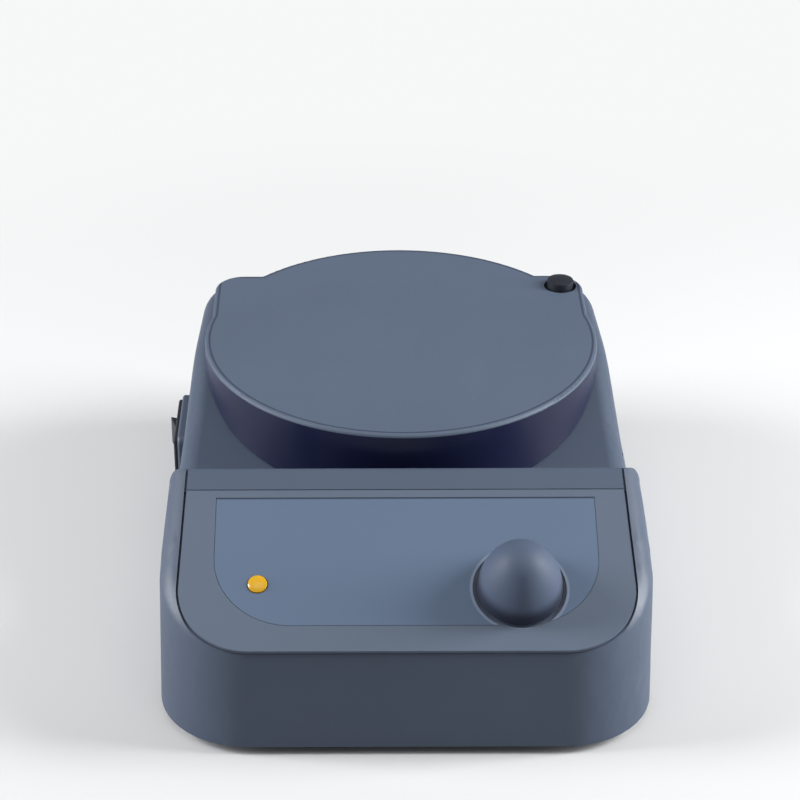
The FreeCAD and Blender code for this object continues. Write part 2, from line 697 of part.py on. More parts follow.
collar = rod("collar", ("0", "centre", "deck - collar_reach"), "collar_radius",
             "collar_reach + deck_gap - gasket_thickness")
socket_boss = rod("socket_boss", (*rod_spot, "deck - socket_length"), "socket_radius + socket_wall",
                  "socket_length - wall")
cover_bosses = rods("cover_boss", cover_spots, "cover_top", "cover_boss_radius", "cover_boss_height")
pod_depth = "(pod_reach - body_width / 2 + wall + pod_root)"
switch_pod = rounded("switch_pod", box(
    "switch_pod_box",
    ("-pod_reach", "switch_middle - pod_length / 2", "switch_height - pod_height / 2"),
    (pod_depth, "pod_length", "pod_height"),
), [
    ("pod_round", edges_at((None, "switch_middle - pod_length / 2", "switch_height - pod_height / 2"),
                           (None, "switch_middle - pod_length / 2", "switch_height + pod_height / 2"),
                           (None, "switch_middle + pod_length / 2", "switch_height - pod_height / 2"),
                           (None, "switch_middle + pod_length / 2", "switch_height + pod_height / 2"))),
    ("pod_round / 3", edges_at(("-pod_reach", None, None))),
])
joined = fuse("casing_joined", [shell, collar, socket_boss, *cover_bosses, switch_pod])


def panel_half(up):
    """Half of the panel's width at a distance up its slope."""
    return f"(panel_width / 2 - panel_taper * ({up} + panel_overhang) / (panel_length + panel_overhang))"


def panel_prism(name, inset, top_inset, low, high):
    """Upright prism with the panel's outline, set in by formulas."""
    base = f"(-panel_overhang + ({inset}))"
    top = f"(panel_length - ({top_inset}))"
    half, top_half = (f"({panel_half(up)} - ({inset}))" for up in (base, top))
    prism = bar(f"{name}_bar", "XY", [
        (f"-{half}", base),
        (half, base),
        (top_half, top),
        (f"-{top_half}", top),
    ], f"{high} - ({low})", symmetric=False)
    place(prism, z=low)
    return rounded(name, prism, [
        (f"panel_corner - ({inset})", edges_at((half, base, None), (f"-{half}", base, None))),
    ])


rebate = seat_on_panel(panel_prism("panel_rebate", "-groove", "-film_gap", "-panel_thickness", "edge_round * 2"))
opening = seat_on_panel(panel_prism("panel_opening", "panel_ledge", "panel_ledge", "-control_board_length",
                                    "edge_round * 2"))
ridge_up = "((ridge_back - lip) / cos(panel_slope * 1 deg))"
side_grooves = []
for word, side in (("left", -1), ("right", 1)):
    edges = [(f"{side} * {panel_half(up)}", f"{side} * ({panel_half(up)} + groove)", up)
             for up in ("panel_length", ridge_up)]
    (low_in, low_out, low_up), (high_in, high_out, high_up) = edges
    groove_bar = bar(f"side_groove_{word}", "XY", [
        (low_in, low_up), (low_out, low_up), (high_out, high_up), (high_in, high_up),
    ], "panel_thickness", symmetric=False)
    side_grooves.append(seat_on_panel(place(groove_bar, z="-panel_thickness / 2")))
collar_bore = rod("collar_bore", ("0", "centre", "deck - collar_reach - 1"), "collar_radius - wall",
                  "overall_height")
gasket_seat = rod("gasket_seat", ("0", "centre", "plate_base - gasket_thickness"),
                  "collar_radius + screw_clearance",
                  "overall_height")
socket_bore = rod("socket_hole", (*rod_spot, "deck - socket_length - 1"), "socket_radius + screw_fit",
                  "overall_height")
cover_pilots = rods("cover_pilot", cover_spots, "foot_height", "thread_radius",
                    "cover_screw_length + cover_thickness + 1")
inlet_hole = box("inlet_hole", (
    "-inlet_across - inlet_width / 2 + inlet_border - screw_fit",
    "back_wall - wall * 2",
    "inlet_height - inlet_length / 2 + inlet_border - screw_fit",
), (
    "inlet_width - 2 * inlet_border + 2 * screw_fit",
    "wall * 3",
    "inlet_length - 2 * inlet_border + 2 * screw_fit",
))
switch_hole = box("switch_hole", (
    "-pod_reach - 1",
    "switch_middle - switch_length / 2 + switch_border - screw_fit",
    "switch_height - switch_tall / 2 + switch_border - screw_fit",
), (
    f"{pod_depth} + 2",
    "switch_length - 2 * switch_border + 2 * screw_fit",
    "switch_tall - 2 * switch_border + 2 * screw_fit",
))
louvres = []
for number in range(int(value("louvre_count"))):
    depth = f"(front + louvre_front + {number} * louvre_pitch)"
    edge = f"(valley_floor - (valley_bend - {depth}) * tan(valley_front_slope * 1 deg))"
    louvres.append(box(f"louvre_{number + 1}", (
        "body_width / 2 - rear_narrowing - wall * 3",
        f"{depth} - louvre_width / 2",
        "valley_floor - louvre_height - louvre_drop - (valley_bend - (front + louvre_front)) "
        "* tan(valley_front_slope * 1 deg)",
    ), (
        "rear_narrowing + wall * 4",
        "louvre_width",
        f"{edge} - louvre_drop - (valley_floor - louvre_height - louvre_drop - "
        "(valley_bend - (front + louvre_front)) * tan(valley_front_slope * 1 deg))",
    )))
opened = cut("casing_opened", joined, rebate, opening, *side_grooves, collar_bore, gasket_seat, socket_bore,
             *cover_pilots, inlet_hole, switch_hole, *louvres)
lugs = rods("lug", plate_spots, "lug_top - lug_height", "lug_radius", "lug_height")
lug_holes = rods("lug_hole", plate_spots, "lug_top - lug_height - 1", "plain_hole", "lug_height + 2")
keep("main_casing", cut("casing_finished", fuse("casing_lugged", [opened, *lugs]), *lug_holes))


# Bottom cover, feet and cover screws

cover = new_body("bottom_cover")
inset = "(wall + cover_gap)"
sketch = body_sketch(cover, "cover_outline", offset="foot_height")
draw(sketch, plan_corners(inset, inset, inset))
cover_plate = feature(cover, "Pad", "cover_plate", sketch, {"Length": "cover_thickness"})
doc.recompute()


def edge_names(shape, choose):
    """Names of chosen edges, as a body's fillet takes them."""
    picked = choose(shape)
    return [f"Edge{index}" for index, edge in enumerate(shape.Edges, start=1)
            if any(edge.isSame(other) for other in picked)]


def upright_edges(low, high):
    """Choice of the upright edges within a stretch of the depth."""
    def choose(shape):
        upright = [edge for edge in shape.Edges if abs(edge.Vertexes[0].Z - edge.Vertexes[-1].Z) > 0.5]
        return [edge for edge in upright if value(low) < middle_of(edge).y < value(high)]
    return choose


def body_fillet(body, name, choose, radius):
    """Fillet of a body's last feature, with its radius bound."""
    base = body.Tip
    fillet = body.newObject("PartDesign::Fillet", name)
    fillet.Base = (base, edge_names(base.Shape, choose))
    bind(fillet, {"Radius": radius})
    doc.recompute()
    return fillet


body_fillet(cover, "cover_front_corners", upright_edges("front", "front + knee_back / 2"),
            f"front_corner - {inset}")
body_fillet(cover, "cover_rear_corners", upright_edges("back_wall - 20", "back_wall"),
            f"rear_corner - {inset}")

foot_spots = mirrored_spots("foot_across", "front + foot_front", "back_wall - foot_rear")


def board_spots(middle_x, middle_y, width, length):
    """Spots of a board's four screws."""
    half_width = f"({width} / 2 - post_inset)"
    half_length = f"({length} / 2 - post_inset)"
    return [(f"{middle_x} + {across} * {half_width}", f"{middle_y} + {along} * {half_length}")
            for along in (-1, 1) for across in (-1, 1)]


power_spots = board_spots("power_board_across", "power_middle", "power_board_width", "power_board_length")
bracket_spots = [(f"{across} * (bracket_width / 2 + bracket_foot / 2)",
                  f"centre + {along} * bracket_depth / 3")
                 for along in (-1, 1) for across in (-1, 1)]


def circles(body, name, spots, radius, offset):
    """Sketch of one circle at each spot."""
    drawing = body_sketch(body, name, offset=offset)
    for x, y in spots:
        draw_circle(drawing, x, y, radius)
    return drawing


feature(cover, "Pad", "board_posts", circles(cover, "post_circles", power_spots, "post_radius", "cover_top"),
        {"Length": "stand_off"})
doc.recompute()


def drill(body, name, spots, radius, offset, depth):
    """Round holes drilled down from a height."""
    pocket = feature(body, "Pocket", name, circles(body, f"{name}_circles", spots, radius, offset),
                     {"Length": depth})
    doc.recompute()
    return pocket


drill(cover, "post_holes", power_spots, "small_thread", "cover_top + stand_off", "stand_off")
drill(cover, "screw_holes", cover_spots, "plain_hole", "cover_top", "cover_thickness")
drill(cover, "foot_holes", foot_spots, "foot_stem_radius", "cover_top", "cover_thickness")
drill(cover, "bracket_holes", bracket_spots, "small_thread", "cover_top", "cover_thickness")
sketch = body_sketch(cover, "vent_slot", offset="cover_top")
first_vent = "(ridge_back - vent_pitch * vent_count)"
draw(sketch, [("-vent_length / 2", first_vent), ("vent_length / 2", first_vent),
              ("vent_length / 2", f"{first_vent} + vent_width"),
              ("-vent_length / 2", f"{first_vent} + vent_width")])
vent = feature(cover, "Pocket", "vent", sketch, {"Length": "cover_thickness"})
doc.recompute()
vents = cover.newObject("PartDesign::LinearPattern", "vents")
vents.Originals = [vent]
vents.Direction = (sketch, ["V_Axis"])
vents.Occurrences = int(value("vent_count"))
bind(vents, {"Length": "vent_pitch * (vent_count - 1)"})
cover.Tip = vents
doc.recompute()
keep("bottom_cover", cover)

feet = []
for number, (x, y) in enumerate(foot_spots, start=1):
    pad = cone(f"foot_pad_{number}", (x, y, "0"), "foot_radius - 0.8", "foot_radius", "foot_height")
    stem = rod(f"foot_stem_{number}", (x, y, "foot_height"), "foot_stem_radius", "cover_thickness")
    bulb = cone(f"foot_bulb_{number}", (x, y, "cover_top"), "foot_stem_radius + 0.8", "foot_stem_radius - 0.6",
                "foot_bulb_height")
    feet.append(fuse(f"foot_{number}", [pad, stem, bulb]))
keep("rubber_feet", group("feet", feet))

keep("cover_screws", group("cover_screw_set", [
    screw(f"cover_screw_{number}", (x, y, "foot_height - head_height"), "screw_radius",
          "cover_thickness + cover_screw_length", "head_radius", "head_height")
    for number, (x, y) in enumerate(cover_spots, start=1)
]))


# Heating plate and what hangs under it

plate_disc = rod("plate_disc", ("0", "centre", "plate_base"), "plate_radius", "plate_thickness")
ears_box = box("plate_ears_box", ("-ear_width / 2", "centre", "plate_base"),
               ("ear_width", "ear_back", "plate_thickness"))
ears = rounded("plate_ears", ears_box, [
    ("ear_corner", edges_at(("ear_width / 2", "centre + ear_back", None),
                            ("-ear_width / 2", "centre + ear_back", None))),
])
plate_top = rounded("plate_top", fuse("plate_outline", [plate_disc, ears]), [
    ("rim_round", lambda shape: [edge for edge in shape.Edges if abs(middle_of(edge).z - value("overall_height")) < 0.01]),
])
skirt_tube = rod("skirt_tube", ("0", "centre", "plate_base - skirt_reach"), "plate_radius", "skirt_reach")
skirt_bore = rod("skirt_bore", ("0", "centre", "plate_base - skirt_reach - 1"), "plate_radius - skirt_wall",
                 "skirt_reach + 1")
skirt = cut("skirt", skirt_tube, skirt_bore, deck_bar("skirt_trim", "(0 - skirt_gap)", "0"))
plate_bosses = rods("plate_boss", plate_spots, "plate_base - stack", "boss_radius", "stack")
plate_pilots = rods("plate_pilot", plate_spots, "plate_base - stack - 1", "thread_radius",
                    "stack + 1 + plate_thickness / 2")
notch = rod("plate_notch", (*rod_spot, "plate_base - 1"), "notch_radius", "plate_thickness + 2")
keep("heating_plate", cut("plate_finished", fuse("plate_cast", [plate_top, skirt, *plate_bosses]), notch,
                          *plate_pilots))

keep("plate_gasket", cut(
    "gasket",
    rod("gasket_disc", ("0", "centre", "plate_base - gasket_thickness"), "collar_radius", "gasket_thickness"),
    rod("gasket_bore", ("0", "centre", "plate_base - gasket_thickness - 1"), "collar_radius - wall",
        "gasket_thickness + 2"),
))
keep("plate_screws", group("plate_screw_set", [
    screw(f"plate_screw_{number}", (x, y, "lug_top - lug_height - head_height"), "screw_radius",
          "lug_height + shield_thickness + stack + plate_thickness / 3", "head_radius", "head_height")
    for number, (x, y) in enumerate(plate_spots, start=1)
]))
keep("heating_element", cut(
    "element",
    rod("element_disc", ("0", "centre", "plate_base - heater_thickness"), "heater_outer", "heater_thickness"),
    rod("element_bore", ("0", "centre", "plate_base - heater_thickness - 1"), "heater_inner",
        "heater_thickness + 2"),
))
keep("insulation_pad", cut(
    "insulation",
    rod("insulation_disc", ("0", "centre", "plate_base - stack"), "insulation_outer", "insulation_thickness"),
    rod("insulation_bore", ("0", "centre", "plate_base - stack - 1"), "insulation_inner",
        "insulation_thickness + 2"),
    *rods("insulation_hole", plate_spots, "plate_base - stack - 1", "boss_radius + screw_clearance",
          "insulation_thickness + 2"),
))
keep("heat_shield", cut(
    "shield",
    rod("shield_disc", ("0", "centre", "lug_top"), "insulation_outer", "shield_thickness"),
    rod("shield_bore", ("0", "centre", "lug_top - 1"), "sensor_radius + screw_clearance",
        "shield_thickness + 2"),
    *rods("shield_hole", plate_spots, "lug_top - 1", "plain_hole", "shield_thickness + 2"),
))
sensor_length = "(stack + shield_thickness + magnet_gap / 2)"
keep("temperature_sensor", fuse("sensor", [
    rod("sensor_can", ("0", "centre", f"plate_base - {sensor_length}"), "sensor_radius", sensor_length),
    rod("sensor_flange", ("0", "centre", "plate_base - heater_thickness"), "insulation_inner - 1",
        "heater_thickness"),
]))


# Motor, its bracket and the magnets that it turns

axis_spot = ("0", "centre")
can_low = "(can_top - motor_height)"
motor_screw_spots = [
    (f"motor_screw_circle * cos({angle} * 1 deg)", f"centre + motor_screw_circle * sin({angle} * 1 deg)")
    for angle in (90, 210, 330)
]
motor_shaft_low = f"({can_low} + wall)"
keep("stir_motor", cut(
    "motor",
    fuse("motor_outside", [
        rod("motor_can", (*axis_spot, can_low), "motor_radius", "motor_height"),
        rod("motor_nose", (*axis_spot, "can_top"), "nose_radius", "nose_height"),
        rod("motor_end", (*axis_spot, f"{can_low} - 2"), "nose_radius + 2", "2"),
    ]),
    rod("motor_bore", (*axis_spot, f"{motor_shaft_low} - running_gap"), "motor_shaft_radius + running_gap",
        "motor_height + nose_height"),
    *rods("motor_thread", motor_screw_spots, "can_top - 7", "small_thread", "8"),
))
keep("motor_shaft", rod("shaft", (*axis_spot, motor_shaft_low), "motor_shaft_radius",
                        f"yoke_top - {motor_shaft_low}"))
yoke_reach = "(magnet_spread + magnet_radius)"
yoke_bar = common(
    "yoke_bar",
    block("yoke_box", (*axis_spot, "yoke_top - yoke_thickness"),
          (f"2 * {yoke_reach}", "yoke_width", "yoke_thickness")),
    rod("yoke_round", (*axis_spot, "yoke_top - yoke_thickness"), yoke_reach, "yoke_thickness"),
)
keep("magnet_yoke", cut(
    "yoke",
    fuse("yoke_solid", [
        yoke_bar,
        rod("yoke_hub", (*axis_spot, "yoke_top - yoke_thickness - hub_height"), "hub_radius", "hub_height"),
    ]),
    rod("yoke_bore", (*axis_spot, "nose_top"), "motor_shaft_radius + screw_fit", "magnet_top"),
    rod("set_screw_thread", ("0", "centre - hub_radius - 1", "yoke_top - yoke_thickness - hub_height / 2"),
        "small_thread", "hub_radius", "+Y"),
))
keep("yoke_set_screw", rod(
    "set_screw", ("0", "centre - hub_radius", "yoke_top - yoke_thickness - hub_height / 2"),
    "small_screw_radius", "hub_radius - motor_shaft_radius - screw_fit", "+Y",
))
keep("drive_magnets", group("magnets", [
    rod(f"magnet_{word}", (f"{side} * magnet_spread", "centre", "yoke_top"), "magnet_radius",
        "magnet_thickness")
    for word, side in (("left", -1), ("right", 1))
]))

bracket = new_body("motor_bracket")
bracket.Placement = Placement()
place(bracket, "0", "centre", "0")
sketch = body_sketch(bracket, "bracket_section", role="XZ_Plane")
half = "(bracket_width / 2)"
inner_half = "(bracket_width / 2 - bracket_thickness)"
toe = "(bracket_width / 2 + bracket_foot)"
table = "(can_top + bracket_thickness)"
draw(sketch, [
    (f"-{toe}", "cover_top"),
    (f"-{inner_half}", "cover_top"),
    (f"-{inner_half}", "can_top"),
    (inner_half, "can_top"),
    (inner_half, "cover_top"),
    (toe, "cover_top"),
    (toe, "cover_top + bracket_thickness"),
    (half, "cover_top + bracket_thickness"),
    (half, table),
    (f"-{half}", table),
    (f"-{half}", "cover_top + bracket_thickness"),
    (f"-{toe}", "cover_top + bracket_thickness"),
])
folded = feature(bracket, "Pad", "folded_sheet", sketch, {"Length": "bracket_depth"})
folded.Midplane = True
doc.recompute()
drill(bracket, "nose_hole", [("0", "0")], "nose_radius + screw_clearance", table, "bracket_thickness")
local_motor_spots = [(x, y.replace("centre + ", "")) for x, y in motor_screw_spots]
local_foot_spots = [(x, y.replace("centre + ", "")) for x, y in bracket_spots]
drill(bracket, "motor_holes", local_motor_spots, "small_hole", table, "bracket_thickness")
drill(bracket, "toe_holes", local_foot_spots, "small_hole", "cover_top + bracket_thickness",
      "bracket_thickness")
keep("motor_bracket", bracket)
keep("motor_screws", group("motor_screw_set", [
    screw(f"motor_screw_{number}", (x, y, f"{table} + small_head_height"), "small_screw_radius",
          "bracket_thickness + 5", "small_head_radius", "small_head_height", "-Z")
    for number, (x, y) in enumerate(motor_screw_spots, start=1)
]))
keep("bracket_screws", group("bracket_screw_set", [
    screw(f"bracket_screw_{number}", (x, y, "cover_top + bracket_thickness + small_head_height"),
          "small_screw_radius",
          "bracket_thickness + cover_thickness", "small_head_radius", "small_head_height", "-Z")
    for number, (x, y) in enumerate(bracket_spots, start=1)
]))


# Control panel, its film, lamp, board and knob, drawn flat and seated on the slope

knob_spot = ("knob_across", "knob_up")
lamp_spot = ("-lamp_across", "lamp_up")
control_middle = "(control_board_low + control_board_length / 2)"
control_spots = board_spots("0", control_middle, "control_board_width", "control_board_length")

panel = panel_prism("panel_moulding", "0", "0", "-panel_thickness", "0")


def film_prism(name, gap, low, height):
    """Prism with the film's outline, grown by a gap."""
    half_film = f"(film_width / 2 + {gap})"
    base = f"(film_low - {gap})"
    prism = box(f"{name}_box", (f"-{half_film}", base, low),
                (f"2 * {half_film}", f"film_length + 2 * {gap}", height))
    return rounded(name, prism, [
        (f"film_corner + {gap}", edges_at((half_film, base, None), (f"-{half_film}", base, None))),
    ])


film_recess = film_prism("film_recess", "film_gap", "-film_thickness", "film_thickness + 1")
dish = cone("knob_dish", (*knob_spot, "-dish_depth"), "dish_radius - dish_depth", "dish_radius + 1",
            "dish_depth + 1")
panel_posts = rods("panel_post", control_spots, "board_top", "post_radius", "encoder_height")
keep("control_panel", seat_on_panel(cut(
    "panel_finished",
    fuse("panel_posted", [panel, *panel_posts]),
    film_recess,
    dish,
    rod("bushing_hole", (*knob_spot, "-panel_thickness - 1"), "bushing_radius + screw_clearance",
        "panel_thickness + 2"),
    rod("lamp_hole", (*lamp_spot, "-panel_thickness - 1"), "lamp_radius + screw_clearance",
        "panel_thickness + 2"),
    *rods("panel_pilot", control_spots, "board_top - 1", "small_thread", "encoder_height"),
)))
keep("panel_film", seat_on_panel(cut(
    "film",
    film_prism("film_sheet", "0", "-film_thickness", "film_thickness"),
    rod("film_dish_hole", (*knob_spot, "-1"), "dish_radius + film_gap", "3"),
    rod("film_lamp_hole", (*lamp_spot, "-1"), "lamp_radius + screw_clearance", "3"),
)))
keep("control_board", seat_on_panel(cut(
    "control_sheet",
    block("control_sheet_box", ("0", control_middle, "board_low"),
          ("control_board_width", "control_board_length", "board_thickness")),
    *rods("control_hole", control_spots, "board_low - 1", "small_hole", "board_thickness + 2"),
)))
keep("control_board_screws", seat_on_panel(group("control_screw_set", [
    screw(f"control_screw_{number}", (x, y, "board_low - small_head_height"), "small_screw_radius",
          "board_thickness + 4.5", "small_head_radius", "small_head_height")
    for number, (x, y) in enumerate(control_spots, start=1)
])))
keep("control_chip", seat_on_panel(block("chip", ("0", control_middle, "board_top"),
                                         ("chip_width", "chip_width", "board_thickness"))))

encoder_floor = "(board_top + board_thickness / 4)"
keep("encoder_body", seat_on_panel(cut(
    "encoder",
    fuse("encoder_outside", [
        block("encoder_case", (*knob_spot, "board_top"), ("encoder_size", "encoder_size", "encoder_height")),
        rod("encoder_bushing", (*knob_spot, "-panel_thickness"), "bushing_radius",
            "panel_thickness - dish_depth + washer_thickness + nut_height + 0.5"),
    ]),
    rod("encoder_bore", (*knob_spot, encoder_floor), "shaft_radius + running_gap", "encoder_height * 2"),
)))
plunger_low = f"({encoder_floor} + knob_travel + 0.2)"
keep("encoder_plunger", seat_on_panel(rod("plunger", (*knob_spot, plunger_low), "shaft_radius",
                                          "plunger_length")))
shaft_low = f"({plunger_low} + plunger_length + running_gap)"
shaft_top = "(knob_rim + shaft_stand)"
keep("encoder_shaft", seat_on_panel(rod("turning_shaft", (*knob_spot, shaft_low), "shaft_radius",
                                        f"{shaft_top} - {shaft_low}")))
keep("encoder_washer", seat_on_panel(cut(
    "washer",
    rod("washer_disc", (*knob_spot, "-dish_depth"), "nut_flats / 2 + 0.8", "washer_thickness"),
    rod("washer_bore", (*knob_spot, "-2"), "bushing_radius + screw_fit", "4"),
)))


def hexagon(x, y, flats):
    """Corners of a hexagon from its width across the flats."""
    corner = f"({flats} / 2 / cos(30 * 1 deg))"
    return [(f"{x} + {corner} * cos({angle} * 1 deg)", f"{y} + {corner} * sin({angle} * 1 deg)")
            for angle in range(0, 360, 60)]


nut = new_body("encoder_nut")
sketch = body_sketch(nut, "nut_outline", offset="washer_thickness - dish_depth")
draw(sketch, hexagon(*knob_spot, "nut_flats"))
draw_circle(sketch, *knob_spot, "bushing_radius + screw_fit")
feature(nut, "Pad", "nut_solid", sketch, {"Length": "nut_height"})
doc.recompute()
keep("encoder_nut", seat_on_panel(nut))


def turned(name, profile, x="0", y="0"):
    """Piece turned about an upright axis from a profile of radius and height."""
    body = new_body(name)
    section = body_sketch(body, f"{name}_profile", role="XZ_Plane")
    draw(section, profile)
    spun = feature(body, "Revolution", f"{name}_turned", section, {})
    spun.ReferenceAxis = (section, ["V_Axis"])
    spun.Angle = 360
    doc.recompute()
    carried = group(f"{name}_placed", [place(body, x, y, "0")])
    return carried


knob_hub = "(shaft_radius + knob_hub_wall)"
knob_bore = "(shaft_radius + screw_fit)"
hub_low = "(washer_thickness + nut_height + knob_travel + knob_gap / 2)"
tip_up = "(knob_height - knob_tip)"
flank = f"(({tip_up} * {tip_up} + knob_radius * knob_radius - knob_tip * knob_tip) / (2 * (knob_radius - knob_tip)))"
join_out = f"(knob_tip * ({flank} - knob_radius) / ({flank} - knob_tip))"
join_up = f"(knob_rim + {tip_up} + knob_tip * {tip_up} / ({flank} - knob_tip))"
keep("control_knob", seat_on_panel(turned("knob", [
    ("0", f"{shaft_top} + running_gap"),
    (knob_bore, f"{shaft_top} + running_gap"),
    (knob_bore, hub_low),
    (knob_hub, hub_low),
    (knob_hub, "knob_rim + knob_height / 2"),
    ("knob_radius - knob_wall", "knob_rim + knob_height / 4"),
    ("knob_radius - knob_wall", "knob_rim"),
    ("knob_radius", "knob_rim", flank),
    (join_out, join_up, "knob_tip"),
    ("0", "knob_rim + knob_height"),
], *knob_spot)))

lens_base = "(lamp_stand * 0.3)"
lens_rise = f"(lamp_stand - {lens_base})"
lens_radius = f"((lamp_radius * lamp_radius + {lens_rise} * {lens_rise}) / (2 * {lens_rise}))"
keep("indicator_lens", seat_on_panel(turned("lens", [
    ("0", "-panel_thickness - lens_collar"),
    ("lamp_radius + 1", "-panel_thickness - lens_collar"),
    ("lamp_radius + 1", "-panel_thickness"),
    ("lamp_radius", "-panel_thickness"),
    ("lamp_radius", lens_base, lens_radius),
    ("0", "lamp_stand"),
], *lamp_spot)))
keep("indicator_led", seat_on_panel(rod("led", (*lamp_spot, "board_top"), "lamp_radius - 1",
                                        "encoder_height - 1.4")))


# Power board and what stands on it

board_spot = ("power_board_across", "power_middle")
keep("power_board", cut(
    "power_sheet",
    block("power_sheet_box", (*board_spot, "cover_top + stand_off"),
          ("power_board_width", "power_board_length", "board_thickness")),
    *rods("power_hole", power_spots, "cover_top + stand_off - 1", "small_hole", "board_thickness + 2"),
))
keep("power_board_screws", group("power_screw_set", [
    screw(f"power_screw_{number}", (x, y, "power_top + small_head_height"), "small_screw_radius",
          "board_thickness + stand_off - 1", "small_head_radius", "small_head_height", "-Z")
    for number, (x, y) in enumerate(power_spots, start=1)
]))
transformer_spot = ("power_board_across", "power_middle + power_board_length / 10")
core = ("transformer_width", "transformer_length", "transformer_height")
keep("transformer_core", block("core", (*transformer_spot, "power_top"), core))
keep("transformer_coil", cut(
    "coil",
    block("coil_box", (*transformer_spot, "power_top"),
          ("transformer_width - 8", "transformer_length + 2 * coil_overhang", "transformer_height - 6")),
    block("coil_window", (*transformer_spot, "power_top - 1"), (*core[:2], "transformer_height + 2")),
))
keep("smoothing_capacitor", rod(
    "capacitor",
    ("power_board_across - power_board_width / 4", "power_middle - power_board_length / 3.6", "power_top"),
    "capacitor_radius", "capacitor_height",
))
sink_spot = ("power_board_across + power_board_width / 4.5", "power_middle - power_board_length / 3.3")
sink_length = "(fin_count * fin_pitch)"
sink_plate = block("sink_plate", (*sink_spot, "power_top"), ("2", sink_length, "sink_height"))
fins = [
    box(f"fin_{number + 1}", (f"{sink_spot[0]} + 1",
                              f"{sink_spot[1]} - {sink_length} / 2 + {number} * fin_pitch + 1",
                              "power_top"), ("6", "1.2", "sink_height"))
    for number in range(int(value("fin_count")))
]
keep("triac_heat_sink", fuse("heat_sink", [sink_plate, *fins]))
keep("heater_triac", box("triac", (f"{sink_spot[0]} - 1 - 3.5", f"{sink_spot[1]} - 5", "power_top"),
                         ("3.5", "10", "15")))
keep("terminal_block", cut(
    "terminals",
    block("terminal_body", ("power_board_across", "power_middle + power_board_length / 2 - 6", "power_top"),
          ("16", "9", "10")),
    *[rod(f"terminal_hole_{number + 1}", (f"power_board_across + ({number} - 1) * 5",
                                        "power_middle + power_board_length / 2 - 1", "power_top + 4"),
          "1.6", "6", "-Y") for number in range(3)],
))


# Mains inlet with its pins, fuse drawer and fuse

socket_middle = "(inlet_height + socket_up)"
drawer_middle = "(inlet_height - drawer_down)"
cavity_floor = "(inlet_face - socket_cavity)"
half_mouth = "(socket_width / 2)"
half_tall = "(socket_height / 2)"
cavity_bar = bar("socket_cavity_bar", "XZ", [
    (f"-{half_mouth}", f"-{half_tall}"),
    (half_mouth, f"-{half_tall}"),
    (half_mouth, f"{half_tall} - socket_corner"),
    (f"{half_mouth} - socket_corner", half_tall),
    (f"socket_corner - {half_mouth}", half_tall),
    (f"-{half_mouth}", f"{half_tall} - socket_corner"),
], "socket_cavity * 2")
place(cavity_bar, "-inlet_across", "inlet_face", socket_middle)
pins = []
pin_slots = []
for name, across, up in (("line", "-pin_pitch", "-pin_stagger"), ("earth", "0", "pin_stagger"),
                         ("neutral", "pin_pitch", "-pin_stagger")):
    low = (f"-inlet_across + {across} - pin_thickness / 2", "back_wall - inlet_depth - tab_length",
           f"{socket_middle} + {up} - pin_width / 2")
    length = f"({cavity_floor} + pin_length) - (back_wall - inlet_depth - tab_length)"
    pins.append(box(f"{name}_pin", low, ("pin_thickness", length, "pin_width")))
    pin_slots.append(box(f"{name}_slot", (f"{low[0]} - screw_fit", low[1], f"{low[2]} - screw_fit"),
                         ("pin_thickness + 2 * screw_fit", length, "pin_width + 2 * screw_fit")))
drawer_slot = box("drawer_slot", (
    "-inlet_across - drawer_width / 2 - drawer_gap",
    "inlet_face - drawer_depth - drawer_gap",
    f"{drawer_middle} - drawer_height / 2 - drawer_gap",
), ("drawer_width + 2 * drawer_gap", "drawer_depth + 5", "drawer_height + 2 * drawer_gap"))
flange = rounded("inlet_flange_round", block(
    "inlet_flange_box", ("-inlet_across", "back_wall + inlet_flange / 2", "inlet_height - inlet_length / 2"),
    ("inlet_width", "inlet_flange", "inlet_length"),
), [("1.5", edges_at(("-inlet_across - inlet_width / 2", None, "inlet_height - inlet_length / 2"),
                     ("-inlet_across + inlet_width / 2", None, "inlet_height - inlet_length / 2"),
                     ("-inlet_across - inlet_width / 2", None, "inlet_height + inlet_length / 2"),
                     ("-inlet_across + inlet_width / 2", None, "inlet_height + inlet_length / 2")))])
inlet_case = block(
    "inlet_case", ("-inlet_across", "back_wall - inlet_depth / 2",
                   "inlet_height - inlet_length / 2 + inlet_border"),
    ("inlet_width - 2 * inlet_border", "inlet_depth", "inlet_length - 2 * inlet_border"),
)
keep("mains_inlet", cut("inlet", fuse("inlet_solid", [flange, inlet_case]), cavity_bar, drawer_slot,
                        *pin_slots))
keep("inlet_pins", group("pins", pins))
fuse_bed = f"({drawer_middle} - drawer_height / 2 + 1.5)"
fuse_depth = "(inlet_face - drawer_depth / 2 - drawer_face)"
drawer = cut(
    "drawer",
    box("drawer_solid", ("-inlet_across - drawer_width / 2", "inlet_face - drawer_depth",
                         f"{drawer_middle} - drawer_height / 2"),
                         ("drawer_width", "drawer_depth", "drawer_height")),
    block("fuse_trough", ("-inlet_across", fuse_depth, fuse_bed),
          ("fuse_length + 0.4", "2 * fuse_radius + 0.2", "drawer_height")),
    block("grip_recess", ("-inlet_across", "inlet_face", f"{drawer_middle} + 0.5"),
          ("8", "drawer_face * 2", "2")),
)
keep("fuse_drawer", drawer)
keep("fuse", fuse("fuse_whole", [
    rod("fuse_glass", ("-inlet_across - fuse_length / 2", fuse_depth,
                       f"{fuse_bed} + fuse_radius + running_gap"),
        "fuse_radius - 0.3", "fuse_length", "+X"),
    *[rod(f"fuse_cap_{number + 1}", (f"-inlet_across - fuse_length / 2 + {number} * (fuse_length - 4)",
                                     fuse_depth,
                                     f"{fuse_bed} + fuse_radius + running_gap"), "fuse_radius", "4", "+X")
      for number in range(2)],
]))


# Power switch in its pod on the left wall

